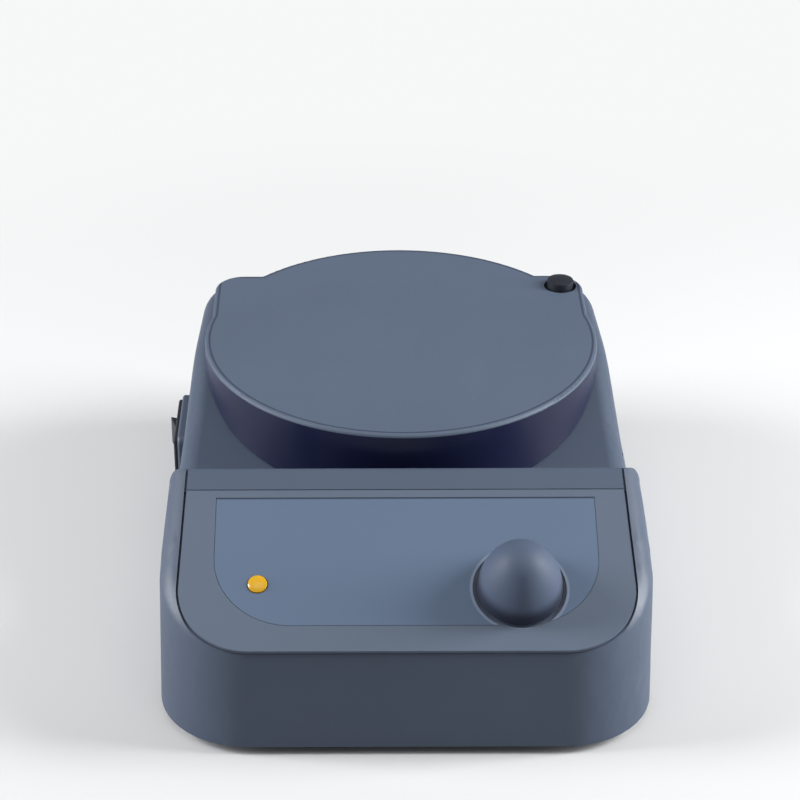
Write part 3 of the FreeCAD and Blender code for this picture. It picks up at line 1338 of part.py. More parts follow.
pivot_x = "(bezel_face + rocker_pivot)"
half_rocker = "(rocker_length / 2)"
aperture = f"(rocker_length * cos(rocker_tilt * 1 deg) + 2 * (rocker_pivot + 2) * sin(rocker_tilt * 1 deg))"
switch_case = fuse("switch_case", [
    rounded("switch_bezel_round", box("switch_bezel_box", (
        "bezel_face", "switch_middle - switch_length / 2", "switch_height - switch_tall / 2",
    ), ("switch_bezel", "switch_length", "switch_tall")), [
        ("switch_bezel / 2", edges_at(("bezel_face", None, None), reach=0.05)),
    ]),
    box("switch_body_box", (
        "-pod_reach", "switch_middle - switch_length / 2 + switch_border",
        "switch_height - switch_tall / 2 + switch_border",
    ), ("switch_depth", "switch_length - 2 * switch_border", "switch_tall - 2 * switch_border")),
])
pin_span = "(rocker_tall + 2)"
keep("switch_housing", cut(
    "switch",
    switch_case,
    box("rocker_aperture", ("bezel_face - 1", f"switch_middle - {aperture} / 2 - rocker_gap",
                            "switch_height - rocker_tall / 2 - rocker_gap"),
        ("rocker_pivot + 1 + 3.5", f"{aperture} + 2 * rocker_gap", "rocker_tall + 2 * rocker_gap")),
    rod("pivot_hole", (pivot_x, "switch_middle", f"switch_height - {pin_span} / 2 - running_gap"),
        "pivot_radius + running_gap", f"{pin_span} + 2 * running_gap"),
))
tip = f"(rocker_pivot + {half_rocker} * tan(rocker_tilt * 1 deg))"
rocker = new_body("rocker")
sketch = body_sketch(rocker, "rocker_section", offset="-rocker_tall / 2")
draw(sketch, [
    (f"-{tip}", f"-{half_rocker}"),
    ("pivot_radius", f"-{half_rocker} * 0.55"),
    ("pivot_radius + 1", "0"),
    ("pivot_radius", f"{half_rocker} * 0.55"),
    (f"-{tip}", half_rocker),
    ("-rocker_pivot", "0"),
])
feature(rocker, "Pad", "rocker_solid", sketch, {"Length": "rocker_tall"})
doc.recompute()
sketch = circles(rocker, "rocker_pivot_circle", [("0", "0")], "pivot_radius", f"-{pin_span} / 2")
feature(rocker, "Pad", "rocker_pin", sketch, {"Length": pin_span})
doc.recompute()
rocker.Placement = Placement(Vector(), Rotation(Vector(0, 0, 1), value("rocker_tilt")))
bind(rocker, {"Placement.Rotation.Angle": "rocker_tilt"})
place(rocker, pivot_x, "switch_middle", "switch_height")
keep("switch_rocker", rocker)


# Support rod socket and its cap

keep("rod_socket", cut(
    "socket",
    rod("socket_bush", (*rod_spot, "deck - socket_length"), "socket_radius", "socket_length"),
    rod("socket_thread", (*rod_spot, "deck - socket_depth"), "socket_bore", "socket_depth + 1"),
))
cap_crown = "(cap_radius * 3)"
cap_shoulder = f"(cap_height - ({cap_crown} - sqrt({cap_crown} * {cap_crown} - cap_radius * cap_radius)))"
keep("rod_socket_cap", place(turned("cap", [
    ("0", "-cap_stem"),
    ("socket_bore - running_gap", "-cap_stem"),
    ("socket_bore - running_gap", "0"),
    ("cap_radius", "0"),
    ("cap_radius", cap_shoulder, cap_crown),
    ("0", "cap_height"),
]), *rod_spot, "deck + running_gap"))


# Check every object and every piece, then write the pieces

doc.recompute()
faults = [item.Name for item in doc.Objects if {"Invalid", "Error"} & set(item.State)]
for name, piece in PIECES.items():
    if piece.Shape.isNull() or not piece.Shape.isValid() or not piece.Shape.Solids:
        faults.append(name)
if faults:
    raise RuntimeError("faulty: " + ", ".join(faults))
os.makedirs("parts", exist_ok=True)
for name, piece in PIECES.items():
    piece.Shape.exportStep(f"parts/{name}.step")
    print(f"{name}: {len(piece.Shape.Solids)} solids, {piece.Shape.Volume / 1000:.2f} cm3")
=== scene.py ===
import json
import logging
import math
from dataclasses import dataclass
from enum import Enum
from typing import Callable, Optional, Sequence, Union

import bmesh
import bpy
from mathutils import Matrix, Vector


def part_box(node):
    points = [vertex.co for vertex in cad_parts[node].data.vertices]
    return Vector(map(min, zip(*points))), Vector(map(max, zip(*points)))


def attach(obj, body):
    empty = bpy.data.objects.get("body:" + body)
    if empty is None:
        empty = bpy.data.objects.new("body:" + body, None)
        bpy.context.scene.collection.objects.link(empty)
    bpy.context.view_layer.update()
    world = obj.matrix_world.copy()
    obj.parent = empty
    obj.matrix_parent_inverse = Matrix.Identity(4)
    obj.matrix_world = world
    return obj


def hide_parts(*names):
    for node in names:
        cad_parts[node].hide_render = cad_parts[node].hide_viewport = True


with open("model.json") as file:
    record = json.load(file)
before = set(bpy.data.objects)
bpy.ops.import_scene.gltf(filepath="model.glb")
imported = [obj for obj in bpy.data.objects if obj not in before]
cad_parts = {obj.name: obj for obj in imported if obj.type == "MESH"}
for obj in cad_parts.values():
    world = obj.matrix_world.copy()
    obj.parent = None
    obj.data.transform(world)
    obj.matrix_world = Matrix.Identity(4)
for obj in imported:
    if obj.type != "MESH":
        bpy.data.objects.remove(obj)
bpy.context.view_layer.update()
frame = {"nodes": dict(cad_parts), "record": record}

LOG = logging.getLogger("hotplate_stirrer")
MM = 0.001
MERGE_REACH = 0.002 * MM
FLAT_ANGLE = math.radians(0.6)
WAVE_PERIOD = 0.314
PANEL_TILT = math.radians(24.8)
PANEL_AXIS = Vector((0.0, -math.sin(PANEL_TILT), math.cos(PANEL_TILT)))
PANEL_UP = Vector((0.0, math.cos(PANEL_TILT), math.sin(PANEL_TILT)))
Colour = tuple[float, float, float]
Socket = bpy.types.NodeSocket
Value = Union[float, Socket]
Tint = Union[Colour, Socket]


class Slot(Enum):
    """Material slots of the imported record."""

    CASING = "casing_blue"
    PANEL = "panel_blue"
    FILM = "film_blue"
    PLATE = "plate_coating"
    KNOB = "knob_blue"
    AMBER = "amber"
    LED = "white_led"
    BLACK = "black_plastic"
    COVER = "cover_black"
    RUBBER = "rubber"
    SILICONE = "silicone"
    STEEL = "steel"
    ZINC = "zinc_steel"
    ALUMINIUM = "aluminium"
    NICKEL = "nickel"
    BRASS = "brass"
    MICA = "mica"
    FIBRE = "ceramic_fibre"
    BOARD = "circuit_board"
    CORE = "core_steel"
    TAPE = "coil_tape"
    GLASS = "clear_glass"


SLOTS = {part["node"]: Slot(part["material_slot"]) for part in frame["record"]["subparts"]}
BODIES = {node: body for body, names in frame["record"]["behaviour"]["bodies"].items() for node in names}


class Axis(Enum):
    """Direction that a brushed or layered pattern runs along."""

    X = (1.0, 0.0, 0.0)
    Y = (0.0, 1.0, 0.0)
    Z = (0.0, 0.0, 1.0)


class Graph:
    """Short way to add and join the nodes of one node tree."""

    def __init__(self, tree: bpy.types.NodeTree) -> None:
        """Keep the tree.

        Args:
            tree: Tree that the nodes go into.
        """
        self.tree = tree

    def feed(self, socket: Socket, given: object) -> None:
        """Link an output to an input, or set a constant on the input itself.

        Args:
            socket: Input that is fed.
            given: Output socket, number, colour or other constant.
        """
        if isinstance(given, Socket):
            self.tree.links.new(given, socket)
        elif isinstance(given, tuple) and socket.type == "RGBA" and len(given) == 3:
            socket.default_value = (*given, 1.0)
        else:
            socket.default_value = given

    def add(self, kind: str, inputs: Optional[dict] = None, **settings: object) -> bpy.types.Node:
        """Add a node.

        Args:
            kind: Node type.
            inputs: Socket name or number, with a value or an output socket.
            **settings: Properties of the node.

        Returns:
            The node.
        """
        node = self.tree.nodes.new(kind)
        for name, setting in settings.items():
            setattr(node, name, setting)
        for key, given in (inputs or {}).items():
            self.feed(node.inputs[key], given)
        return node

    def maths(self, operation: str, *terms: Value, clamp: bool = False) -> Socket:
        """Arithmetic on numbers or sockets.

        Args:
            operation: Name of the operation.
            *terms: Numbers or sockets.
            clamp: Keep the result from 0 to 1.

        Returns:
            The result's socket.
        """
        node = self.add("ShaderNodeMath", dict(enumerate(terms)), operation=operation, use_clamp=clamp)
        return node.outputs[0]

    def times(self, first: Value, second: Value) -> Socket:
        """Product of two numbers or sockets."""
        return self.maths("MULTIPLY", first, second)

    def ramp(self, factor: Socket, low: float, high: float, from_value: float = 0.0,
             to_value: float = 1.0) -> Socket:
        """Smooth step of a mask.

        Args:
            factor: Mask.
            low: Where the step starts.
            high: Where the step ends.
            from_value: Result at the start.
            to_value: Result at the end.

        Returns:
            The stepped mask's socket.
        """
        node = self.add("ShaderNodeMapRange", {"Value": factor, "From Min": low, "From Max": high,
                                               "To Min": from_value, "To Max": to_value},
                        interpolation_type="SMOOTHSTEP")
        return node.outputs[0]

    def mix(self, factor: Value, first: Tint, second: Tint) -> Socket:
        """Mix of two colours.

        Args:
            factor: Share of the second colour.
            first: Colour or socket.
            second: Colour or socket.

        Returns:
            The mixed colour's socket.
        """
        return self.add("ShaderNodeMix", {0: factor, 6: first, 7: second}, data_type="RGBA").outputs[2]

    def noise(self, vector: Socket, scale: Value, detail: float = 3.0, roughness: float = 0.5) -> Socket:
        """Noise of a scale per metre.

        Args:
            vector: Coordinates.
            scale: Scale or its socket.
            detail: Octaves.
            roughness: Strength of the finer octaves.

        Returns:
            The noise's number socket.
        """
        return self.add("ShaderNodeTexNoise", {"Vector": vector, "Scale": scale, "Detail": detail,
                                               "Roughness": roughness}).outputs[0]

    def cells(self, vector: Socket, scale: Value, randomness: float = 1.0, **settings: str) -> Socket:
        """Distances in a Voronoi pattern.

        Args:
            vector: Coordinates.
            scale: Scale or its socket.
            randomness: How far the cells' points leave their grid.
            **settings: Properties of the node.

        Returns:
            The distance's socket.
        """
        return self.add("ShaderNodeTexVoronoi", {"Vector": vector, "Scale": scale, "Randomness": randomness},
                        **settings).outputs[0]

    def place(self) -> Socket:
        """Object coordinates, in metres."""
        return self.add("ShaderNodeTexCoord").outputs["Object"]

    def split(self, vector: Socket) -> Sequence[Socket]:
        """The x, y and z of a vector."""
        return self.add("ShaderNodeSeparateXYZ", {0: vector}).outputs

    def vector(self, *parts: Value) -> Socket:
        """Vector of an x, a y and a z."""
        return self.add("ShaderNodeCombineXYZ", dict(enumerate(parts))).outputs[0]

    def length(self, vector: Socket) -> Socket:
        """Length of a vector."""
        return self.add("ShaderNodeVectorMath", {0: vector}, operation="LENGTH").outputs["Value"]

    def rise(self, axis: Vector) -> Socket:
        """Distance along an axis that leans in the YZ plane.

        Args:
            axis: Direction of length 1 with no x.

        Returns:
            The distance's socket, in metres.
        """
        parts = self.split(self.place())
        return self.maths("MULTIPLY_ADD", parts[1], axis.y, self.times(parts[2], axis.z))

    def off_by(self, value: Value, target: Value) -> Socket:
        """How far a value is from a target, without its sign."""
        return self.maths("ABSOLUTE", self.maths("SUBTRACT", value, target))


class Effect:
    """Shader node group that several finishes share, built once."""

    title: str
    inputs: dict[str, object]
    outputs: dict[str, str]
    kinds: dict[int, str] = {1: "NodeSocketFloat", 3: "NodeSocketVector", 4: "NodeSocketColor"}
    built: dict[str, bpy.types.NodeTree] = {}

    @classmethod
    def fill(cls, graph: Graph, given: dict[str, Socket]) -> dict[str, Socket]:
        """Add the effect's own nodes.

        Args:
            graph: Graph of the group.
            given: Sockets of its inputs.

        Returns:
            The sockets of its results.
        """
        raise NotImplementedError

    @classmethod
    def group(cls) -> bpy.types.NodeTree:
        """Group with named sockets.

        Returns:
            The group's tree, the same one each time.
        """
        if cls.title in cls.built:
            return cls.built[cls.title]
        tree = bpy.data.node_groups.new(cls.title, "ShaderNodeTree")
        for name, given in cls.inputs.items():
            kind = cls.kinds[len(given) if isinstance(given, tuple) else 1]
            tree.interface.new_socket(name=name, in_out="INPUT", socket_type=kind).default_value = given
        for name, kind in cls.outputs.items():
            tree.interface.new_socket(name=name, in_out="OUTPUT", socket_type=kind)
        graph = Graph(tree)
        start = graph.add("NodeGroupInput")
        graph.add("NodeGroupOutput", cls.fill(graph, {name: start.outputs[name] for name in cls.inputs}))
        cls.built[cls.title] = tree
        return tree


class Grain(Effect):
    """Fine spark-eroded grain of a moulded surface, as a height and a mask."""

    title = "moulded_grain"
    inputs = {"Scale": 2600.0}
    outputs = {"Height": "NodeSocketFloat", "Mask": "NodeSocketFloat"}

    @classmethod
    def fill(cls, graph: Graph, given: dict[str, Socket]) -> dict[str, Socket]:
        """Cells roughened by noise.

        Args:
            graph: Graph of the group.
            given: Sockets of its inputs.

        Returns:
            The sockets of its results.
        """
        place = graph.place()
        fine = graph.noise(place, given["Scale"], 4.0, 0.6)
        cells = graph.cells(place, given["Scale"], feature="SMOOTH_F1")
        return {"Height": graph.maths("MULTIPLY_ADD", fine, 0.6, graph.times(cells, 0.5)),
                "Mask": graph.ramp(fine, 0.35, 0.7)}


class Handling(Effect):
    """Slow drift of tone, finger marks and specks, as a colour and a roughness."""

    title = "handling_marks"
    inputs = {"Color": (0.5, 0.5, 0.5, 1.0), "Drift": (0.5, 0.5, 0.5, 1.0), "Amount": 0.5, "Roughness": 0.4,
              "Spread": 0.1}
    outputs = {"Color": "NodeSocketColor", "Roughness": "NodeSocketFloat"}
    broad_scale: float = 14.0
    smear_turn: tuple[float, float, float] = (0.3, 0.2, 0.7)
    smear_scale: tuple[float, float, float] = (60.0, 11.0, 30.0)
    speck_scale: float = 420.0
    patch_scale: float = 60.0
    speck_colour: Colour = (0.42, 0.42, 0.40)

    @classmethod
    def fill(cls, graph: Graph, given: dict[str, Socket]) -> dict[str, Socket]:
        """Broad noise, faint smears and a few specks.

        Args:
            graph: Graph of the group.
            given: Sockets of its inputs.

        Returns:
            The sockets of its results.
        """
        place = graph.place()
        broad = graph.ramp(graph.noise(place, cls.broad_scale), 0.3, 0.7)
        smear = graph.add("ShaderNodeMapping", {"Vector": place, "Rotation": cls.smear_turn,
                                                "Scale": cls.smear_scale}).outputs[0]
        wipes = graph.ramp(graph.noise(smear, 1.0, 5.0, 0.65), 0.35, 0.75)
        few = graph.ramp(graph.noise(place, cls.patch_scale, 2.0), 0.6, 0.68)
        specks = graph.times(graph.ramp(graph.cells(place, cls.speck_scale), 0.09, 0.02), few)
        lighter = graph.mix(graph.times(broad, given["Amount"]), given["Color"], given["Drift"])
        dust = graph.times(specks, graph.times(given["Amount"], 0.5))
        worn = graph.maths("MULTIPLY_ADD", wipes, given["Spread"], given["Roughness"])
        return {"Color": graph.mix(dust, lighter, cls.speck_colour),
                "Roughness": graph.maths("ADD", worn, graph.times(specks, 0.2), clamp=True)}


class Brushing(Effect):
    """Tool marks that run along one direction, as a height and a mask."""

    title = "tool_marks"
    inputs = {"Stretch": (60.0, 4000.0, 4000.0)}
    outputs = {"Height": "NodeSocketFloat", "Mask": "NodeSocketFloat"}

    @classmethod
    def fill(cls, graph: Graph, given: dict[str, Socket]) -> dict[str, Socket]:
        """Noise stretched along the given direction.

        Args:
            graph: Graph of the group.
            given: Sockets of its inputs.

        Returns:
            The sockets of its results.
        """
        stretch = graph.add("ShaderNodeVectorMath", {0: graph.place(), 1: given["Stretch"]},
                            operation="MULTIPLY")
        lines = graph.noise(stretch.outputs[0], 1.0, 6.0, 0.7)
        return {"Height": lines, "Mask": graph.ramp(lines, 0.3, 0.7)}


class Look:
    """Material in the making: a Principled shader with handling marks in its colour and roughness."""

    def __init__(self, name: str, finish: "Finish") -> None:
        """Start the material.

        Args:
            name: Name of the material.
            finish: Finish that it gets.
        """
        self.finish = finish
        self.material = bpy.data.materials.new(name)
        self.material.use_nodes = True
        self.material.diffuse_color = (*finish.colour, 1.0)
        self.material.node_tree.nodes.clear()
        self.graph = Graph(self.material.node_tree)
        self.shader = self.graph.add("ShaderNodeBsdfPrincipled")
        self.graph.add("ShaderNodeOutputMaterial", {"Surface": self.shader.outputs[0]})
        self.set(Base_Color=finish.colour, Roughness=finish.roughness)
        lighter = tuple(min(1.0, channel * finish.lift) for channel in finish.colour)
        marks = self.graph.add("ShaderNodeGroup", {
            "Color": finish.colour, "Drift": lighter, "Amount": finish.drift, "Roughness": finish.roughness,
            "Spread": finish.spread}, node_tree=Handling.group())
        self.tone = marks.outputs["Color"]
        self.matt = marks.outputs["Roughness"]
        self.set(Base_Color=self.tone, Roughness=self.matt)

    def set(self, **given: object) -> None:
        """Set or link the shader's sockets.

        Args:
            **given: Socket names, with _ for a space, and what they get.
        """
        for name, setting in given.items():
            self.graph.feed(self.shader.inputs[name.replace("_", " ")], setting)

    def glaze(self, mask: Socket, colour: Colour, amount: float = 1.0) -> None:
        """Lay a colour over the present one.

        Args:
            mask: Where it goes.
            colour: The colour.
            amount: Its share where the mask is 1.
        """
        self.tone = self.graph.mix(self.graph.times(mask, amount), self.tone, colour)
        self.set(Base_Color=self.tone)

    def grain(self, scale: float) -> bpy.types.Node:
        """Group node of the moulded grain, of a scale per metre."""
        return self.graph.add("ShaderNodeGroup", {"Scale": scale}, node_tree=Grain.group())

    def bump(self, height: Socket) -> None:
        """Join a height to the shader's normal.

        Args:
            height: Height mask.
        """
        node = self.graph.add("ShaderNodeBump", {"Height": height, "Strength": self.finish.relief,
                                                 "Distance": self.finish.depth})
        self.set(Normal=node.outputs[0])


@dataclass(frozen=True)
class Finish:
    """Base of the finishes: tone drift, wander of the roughness, its lighter tone, and the bump in metres."""

    slot: Slot
    colour: Colour
    roughness: float = 0.4
    drift: float = 0.3
    spread: float = 0.05
    lift: float = 1.25
    relief: float = 0.5
    depth: float = 0.00003

    def build(self, name: str) -> bpy.types.Material:
        """Make the material.

        Args:
            name: Name of the material.

        Returns:
            The material.
        """
        look = Look(name, self)
        self.paint(look)
        return look.material

    def paint(self, look: Look) -> None:
        """Add this finish's own nodes.

        Args:
            look: Material in the making.
        """
        raise NotImplementedError

    def scaled(self, share: float) -> Colour:
        """The finish's colour, darker or lighter."""
        return tuple(min(1.0, channel * share) for channel in self.colour)


@dataclass(frozen=True)
class MouldedPlastic(Finish):
    """Injection-moulded plastic with a fine spark-eroded grain."""

    drift: float = 0.35
    spread: float = 0.08
    grain_scale: float = 2600.0
    gloss: float = 0.42

    def paint(self, look: Look) -> None:
        """Grain in the normal.

        Args:
            look: Material in the making.
        """
        look.set(IOR=1.45, Specular_IOR_Level=self.gloss)
        look.bump(look.grain(self.grain_scale).outputs["Height"])


@dataclass(frozen=True)
class PaintedShadePlastic(MouldedPlastic):
    """Plastic with painted shade that darkens it toward its foot, along the control panel's leaning axis."""

    dark_at: float = 0.0
    clear_at: float = 1.0
    # Colour of the painted shade at the foot.
    shade: Colour = (0.008, 0.009, 0.022)
    strength: float = 0.85

    def paint(self, look: Look) -> None:
        """Grain, with the painted shade of the foot over the tone.

        Args:
            look: Material in the making.
        """
        super().paint(look)
        height = look.graph.rise(PANEL_AXIS)
        # painted shade: the colour darkens below clear_at along the panel's axis
        look.glaze(look.graph.ramp(height, self.dark_at, self.clear_at, self.strength, 0.0), self.shade)


@dataclass(frozen=True)
class SkirtPaintedShade(MouldedPlastic):
    """Darker copy of the plate's finish, painted shade for the skirt, with a soft sheen where it turns away.
    """

    sheen: float = 0.35
    sheen_roughness: float = 0.25
    sheen_colour: Colour = (0.55, 0.68, 1.0)

    def paint(self, look: Look) -> None:
        """Grain under the sheen.

        Args:
            look: Material in the making.
        """
        super().paint(look)
        look.set(Sheen_Weight=self.sheen, Sheen_Roughness=self.sheen_roughness, Sheen_Tint=self.sheen_colour)


@dataclass(frozen=True)
class CoatedPlate(Finish):
    """Satin ceramic coating with a faint speckle, rubbed rings and a thin turned line inside its rim, cut as
    a bump and darkened with painted shade.
    """

    spread: float = 0.1
    relief: float = 0.35
    depth: float = 0.00002
    grain_scale: float = 3400.0
    speckle: Colour = (0.17, 0.205, 0.26)
    speckle_scale: float = 1700.0
    speckle_share: float = 0.35
    patch_scale: float = 800.0
    ring_scale: float = 60.0
    polish: float = 0.015
    middle: tuple[float, float] = (0.0, 0.0342)
    radius: float = 0.0675
    half_width: float = 0.06585
    ear_back: float = 0.046
    ear_blend: float = 0.008
    groove_inset: float = 0.0016
    groove_width: float = 0.0005
    groove_shade_colour: Colour = (0.02, 0.025, 0.05)
    groove_shade_share: float = 0.75
    groove_depth: float = 6.0

    def groove(self, graph: Graph, centred: Socket) -> Socket:
        """Mask of the turned line, which follows the round rim and the two rear corners.

        Args:
            graph: Graph of the material.
            centred: Coordinates from the plate's middle.

        Returns:
            Mask, 1 in the line.
        """
        across, along, _ = graph.split(centred)
        round_depth = graph.maths("SUBTRACT", self.radius, graph.length(graph.vector(across, along, 0.0)))
        side_depth = graph.maths("SUBTRACT", self.half_width, graph.maths("ABSOLUTE", across))
        back_depth = graph.maths("SUBTRACT", self.ear_back, along)
        ear_depth = graph.maths("SMOOTH_MIN", side_depth, back_depth, self.ear_blend)
        ear_only = graph.maths("MINIMUM", ear_depth, graph.times(along, 4.0))
        away = graph.off_by(graph.maths("MAXIMUM", round_depth, ear_only), self.groove_inset)
        return graph.ramp(away, self.groove_width, self.groove_width * 0.4)

    def paint(self, look: Look) -> None:
        """Speckle and the line's painted shade in the colour, rings of use in the roughness.

        Args:
            look: Material in the making.
        """
        graph = look.graph
        look.set(IOR=1.45, Specular_IOR_Level=0.4)
        place = graph.place()
        flakes = graph.ramp(graph.cells(place, self.speckle_scale), 0.22, 0.1)
        some = graph.ramp(graph.noise(place, self.patch_scale, 2.0), 0.45, 0.6)
        look.glaze(graph.times(flakes, some), self.speckle, self.speckle_share)
        centred = graph.add("ShaderNodeMapping", {
            "Vector": place, "Location": (-self.middle[0], -self.middle[1], 0.0)}).outputs[0]
        line = self.groove(graph, centred)
        # painted shade: the turned line is darkened in the colour as well as cut into the bump
        look.glaze(line, self.groove_shade_colour, self.groove_shade_share)
        rings = graph.add("ShaderNodeTexWave", {
            "Vector": centred, "Scale": self.ring_scale, "Distortion": 3.0, "Detail": 3.0,
            "Detail Scale": 1.5}, wave_type="RINGS", rings_direction="Z").outputs[1]
        look.set(Roughness=graph.maths("MULTIPLY_ADD", graph.ramp(rings, 0.75, 1.0), -self.polish, look.matt))
        grain = look.grain(self.grain_scale).outputs["Height"]
        look.bump(graph.maths("MULTIPLY_ADD", line, -self.groove_depth, grain))


@dataclass(frozen=True)
class SatinFilm(Finish):
    """Printed polyester film with a very fine satin texture, with a painted highlight ring around the knob's
    hole and a painted shadow along its upper edge.
    """

    drift: float = 0.2
    lift: float = 1.12
    relief: float = 0.3
    depth: float = 0.000012
    grain_scale: float = 5200.0
    knob: tuple[float, float] = (0.0346, -0.0528)
    ring: float = 0.01485
    ring_width: float = 0.0007
    ring_highlight_colour: Colour = (0.24, 0.28, 0.36)
    ring_highlight_share: float = 0.45
    upper_edge: float = -0.0196
    edge_width: float = 0.0007
    edge_shadow_colour: Colour = (0.012, 0.017, 0.035)
    edge_shadow_share: float = 0.8

    def paint(self, look: Look) -> None:
        """Fine pebble, a painted highlight ring and a painted shadow along the upper edge.

        Args:
            look: Material in the making.
        """
        graph = look.graph
        look.set(IOR=1.45, Specular_IOR_Level=0.35)
        across, up = graph.split(graph.place())[0], graph.rise(PANEL_UP)
        spot = graph.vector(graph.maths("SUBTRACT", across, self.knob[0]),
                            graph.maths("SUBTRACT", up, self.knob[1]), 0.0)
        away = graph.off_by(graph.length(spot), self.ring)
        # painted highlight: a pale ring round the knob's hole
        ring_highlight_mask = graph.ramp(away, self.ring_width, self.ring_width * 0.3)
        look.glaze(ring_highlight_mask, self.ring_highlight_colour, self.ring_highlight_share)
        # painted shadow: the film darkens along its upper edge
        edge = graph.ramp(up, self.upper_edge - self.edge_width, self.upper_edge - self.edge_width * 0.3)
        look.glaze(edge, self.edge_shadow_colour, self.edge_shadow_share)
        look.bump(look.grain(self.grain_scale).outputs["Height"])


@dataclass(frozen=True)
class MachinedMetal(Finish):
    """Bare, plated or rolled metal with tool marks."""

    drift: float = 0.4
    spread: float = 0.12
    lift: float = 1.1
    depth: float = 0.00002
    run: Axis = Axis.Z
    long_scale: float = 90.0
    cross_scale: float = 3000.0
    mark_share: float = 0.12
    spot_scale: float = 220.0
    tarnish: Colour = (0.35, 0.33, 0.3)
    tarnish_share: float = 0.3

    def paint(self, look: Look) -> None:
        """Marks in the normal and roughness, tarnish in the colour.

        Args:
            look: Material in the making.
        """
        graph = look.graph
        look.set(Metallic=1.0)
        stretch = tuple(self.long_scale if part else self.cross_scale for part in self.run.value)
        brush = graph.add("ShaderNodeGroup", {"Stretch": stretch}, node_tree=Brushing.group())
        look.set(Roughness=graph.maths("MULTIPLY_ADD", brush.outputs["Mask"], self.mark_share, look.matt))
        spots = graph.ramp(graph.noise(graph.place(), self.spot_scale, 4.0, 0.65), 0.58, 0.75)
        look.glaze(spots, self.tarnish, self.tarnish_share)
        look.bump(brush.outputs["Height"])


@dataclass(frozen=True)
class SoftRubber(Finish):
    """Matt rubber or silicone with dust in its pores."""

    drift: float = 0.4
    relief: float = 0.6
    depth: float = 0.00005
    grain_scale: float = 1500.0
    dust: Colour = (0.2, 0.2, 0.19)
    dust_share: float = 0.15

    def paint(self, look: Look) -> None:
        """Pores in the normal, dust in the colour.

        Args:
            look: Material in the making.
        """
        look.set(IOR=1.5, Specular_IOR_Level=0.3)
        grain = look.grain(self.grain_scale)
        look.glaze(grain.outputs["Mask"], self.dust, self.dust_share)
        look.bump(grain.outputs["Height"])


@dataclass(frozen=True)
class LayeredStack(Finish):
    """Thin sheets stacked on each other, such as core laminations, mica or wound tape."""

    drift: float = 0.5
    spread: float = 0.15
    relief: float = 0.4
    depth: float = 0.00005
    sheet: float = 0.0005
    along: Axis = Axis.Z
    metallic: float = 0.0
    gap: float = 0.45
    flake: float = 1.5
    flake_scale: float = 500.0
    flake_share: float = 0.25

    def paint(self, look: Look) -> None:
        """Dark lines between the sheets, flakes on them.

        Args:
            look: Material in the making.
        """
        graph = look.graph
        look.set(Metallic=self.metallic)
        place = graph.place()
        bands = graph.add("ShaderNodeTexWave", {
            "Vector": place, "Scale": WAVE_PERIOD / self.sheet, "Distortion": 0.6, "Detail": 2.0},
            wave_type="BANDS", bands_direction=self.along.name).outputs[1]
        look.glaze(graph.ramp(bands, 0.25, 0.0), self.scaled(self.gap))
        flakes = graph.ramp(graph.noise(place, self.flake_scale, 5.0, 0.7), 0.4, 0.7)
        look.glaze(flakes, self.scaled(self.flake), self.flake_share)
        look.bump(bands)


@dataclass(frozen=True)
class FeltedFibre(Finish):
    """Ceramic fibre mat."""

    relief: float = 0.8
    depth: float = 0.0003
    fibre_scale: float = 900.0
    shadow: Colour = (0.5, 0.48, 0.42)
    shadow_share: float = 0.4

    def paint(self, look: Look) -> None:
        """Tangled fibres in the normal and colour.

        Args:
            look: Material in the making.
        """
        look.set(Sheen_Weight=0.4)
        fibres = look.graph.noise(look.graph.place(), self.fibre_scale, 8.0, 0.75)
        look.glaze(look.graph.ramp(fibres, 0.6, 0.3), self.shadow, self.shadow_share)
        look.bump(fibres)


@dataclass(frozen=True)
class SolderMask(Finish):
    """Circuit board with tracks and pads under its solder mask."""

    drift: float = 0.25
    depth: float = 0.00004
    track: Colour = (0.07, 0.32, 0.15)
    track_scale: float = 260.0
    track_pitch: float = 0.22
    solder: Colour = (0.7, 0.7, 0.68)
    solder_share: float = 0.7
    pad_scale: float = 330.0

    def paint(self, look: Look) -> None:
        """Tracks as raised lighter lines, a few bare pads.

        Args:
            look: Material in the making.
        """
        graph = look.graph
        look.set(Coat_Weight=0.4, Coat_Roughness=0.15)
        place = graph.place()
        cells = graph.cells(place, self.track_scale, 0.35, distance="MANHATTAN", feature="F2")
        tracks = graph.ramp(graph.maths("PINGPONG", cells, self.track_pitch), 0.12, 0.16)
        pads = graph.ramp(graph.cells(place, self.pad_scale, 0.2), 0.16, 0.12)
        look.glaze(tracks, self.track)
        look.glaze(pads, self.solder, self.solder_share)
        look.bump(graph.maths("ADD", tracks, pads))


@dataclass(frozen=True)
class ClearLens(Finish):
    """Tinted or clear moulded lens or glass tube."""

    drift: float = 0.15
    spread: float = 0.04
    lift: float = 1.05
    relief: float = 0.2
    transmission: float = 0.6
    flow_scale: float = 700.0

    def paint(self, look: Look) -> None:
        """Clear body with faint flow lines.

        Args:
            look: Material in the making.
        """
        look.set(IOR=1.49, Transmission_Weight=self.transmission)
        look.bump(look.graph.noise(look.graph.place(), self.flow_scale))


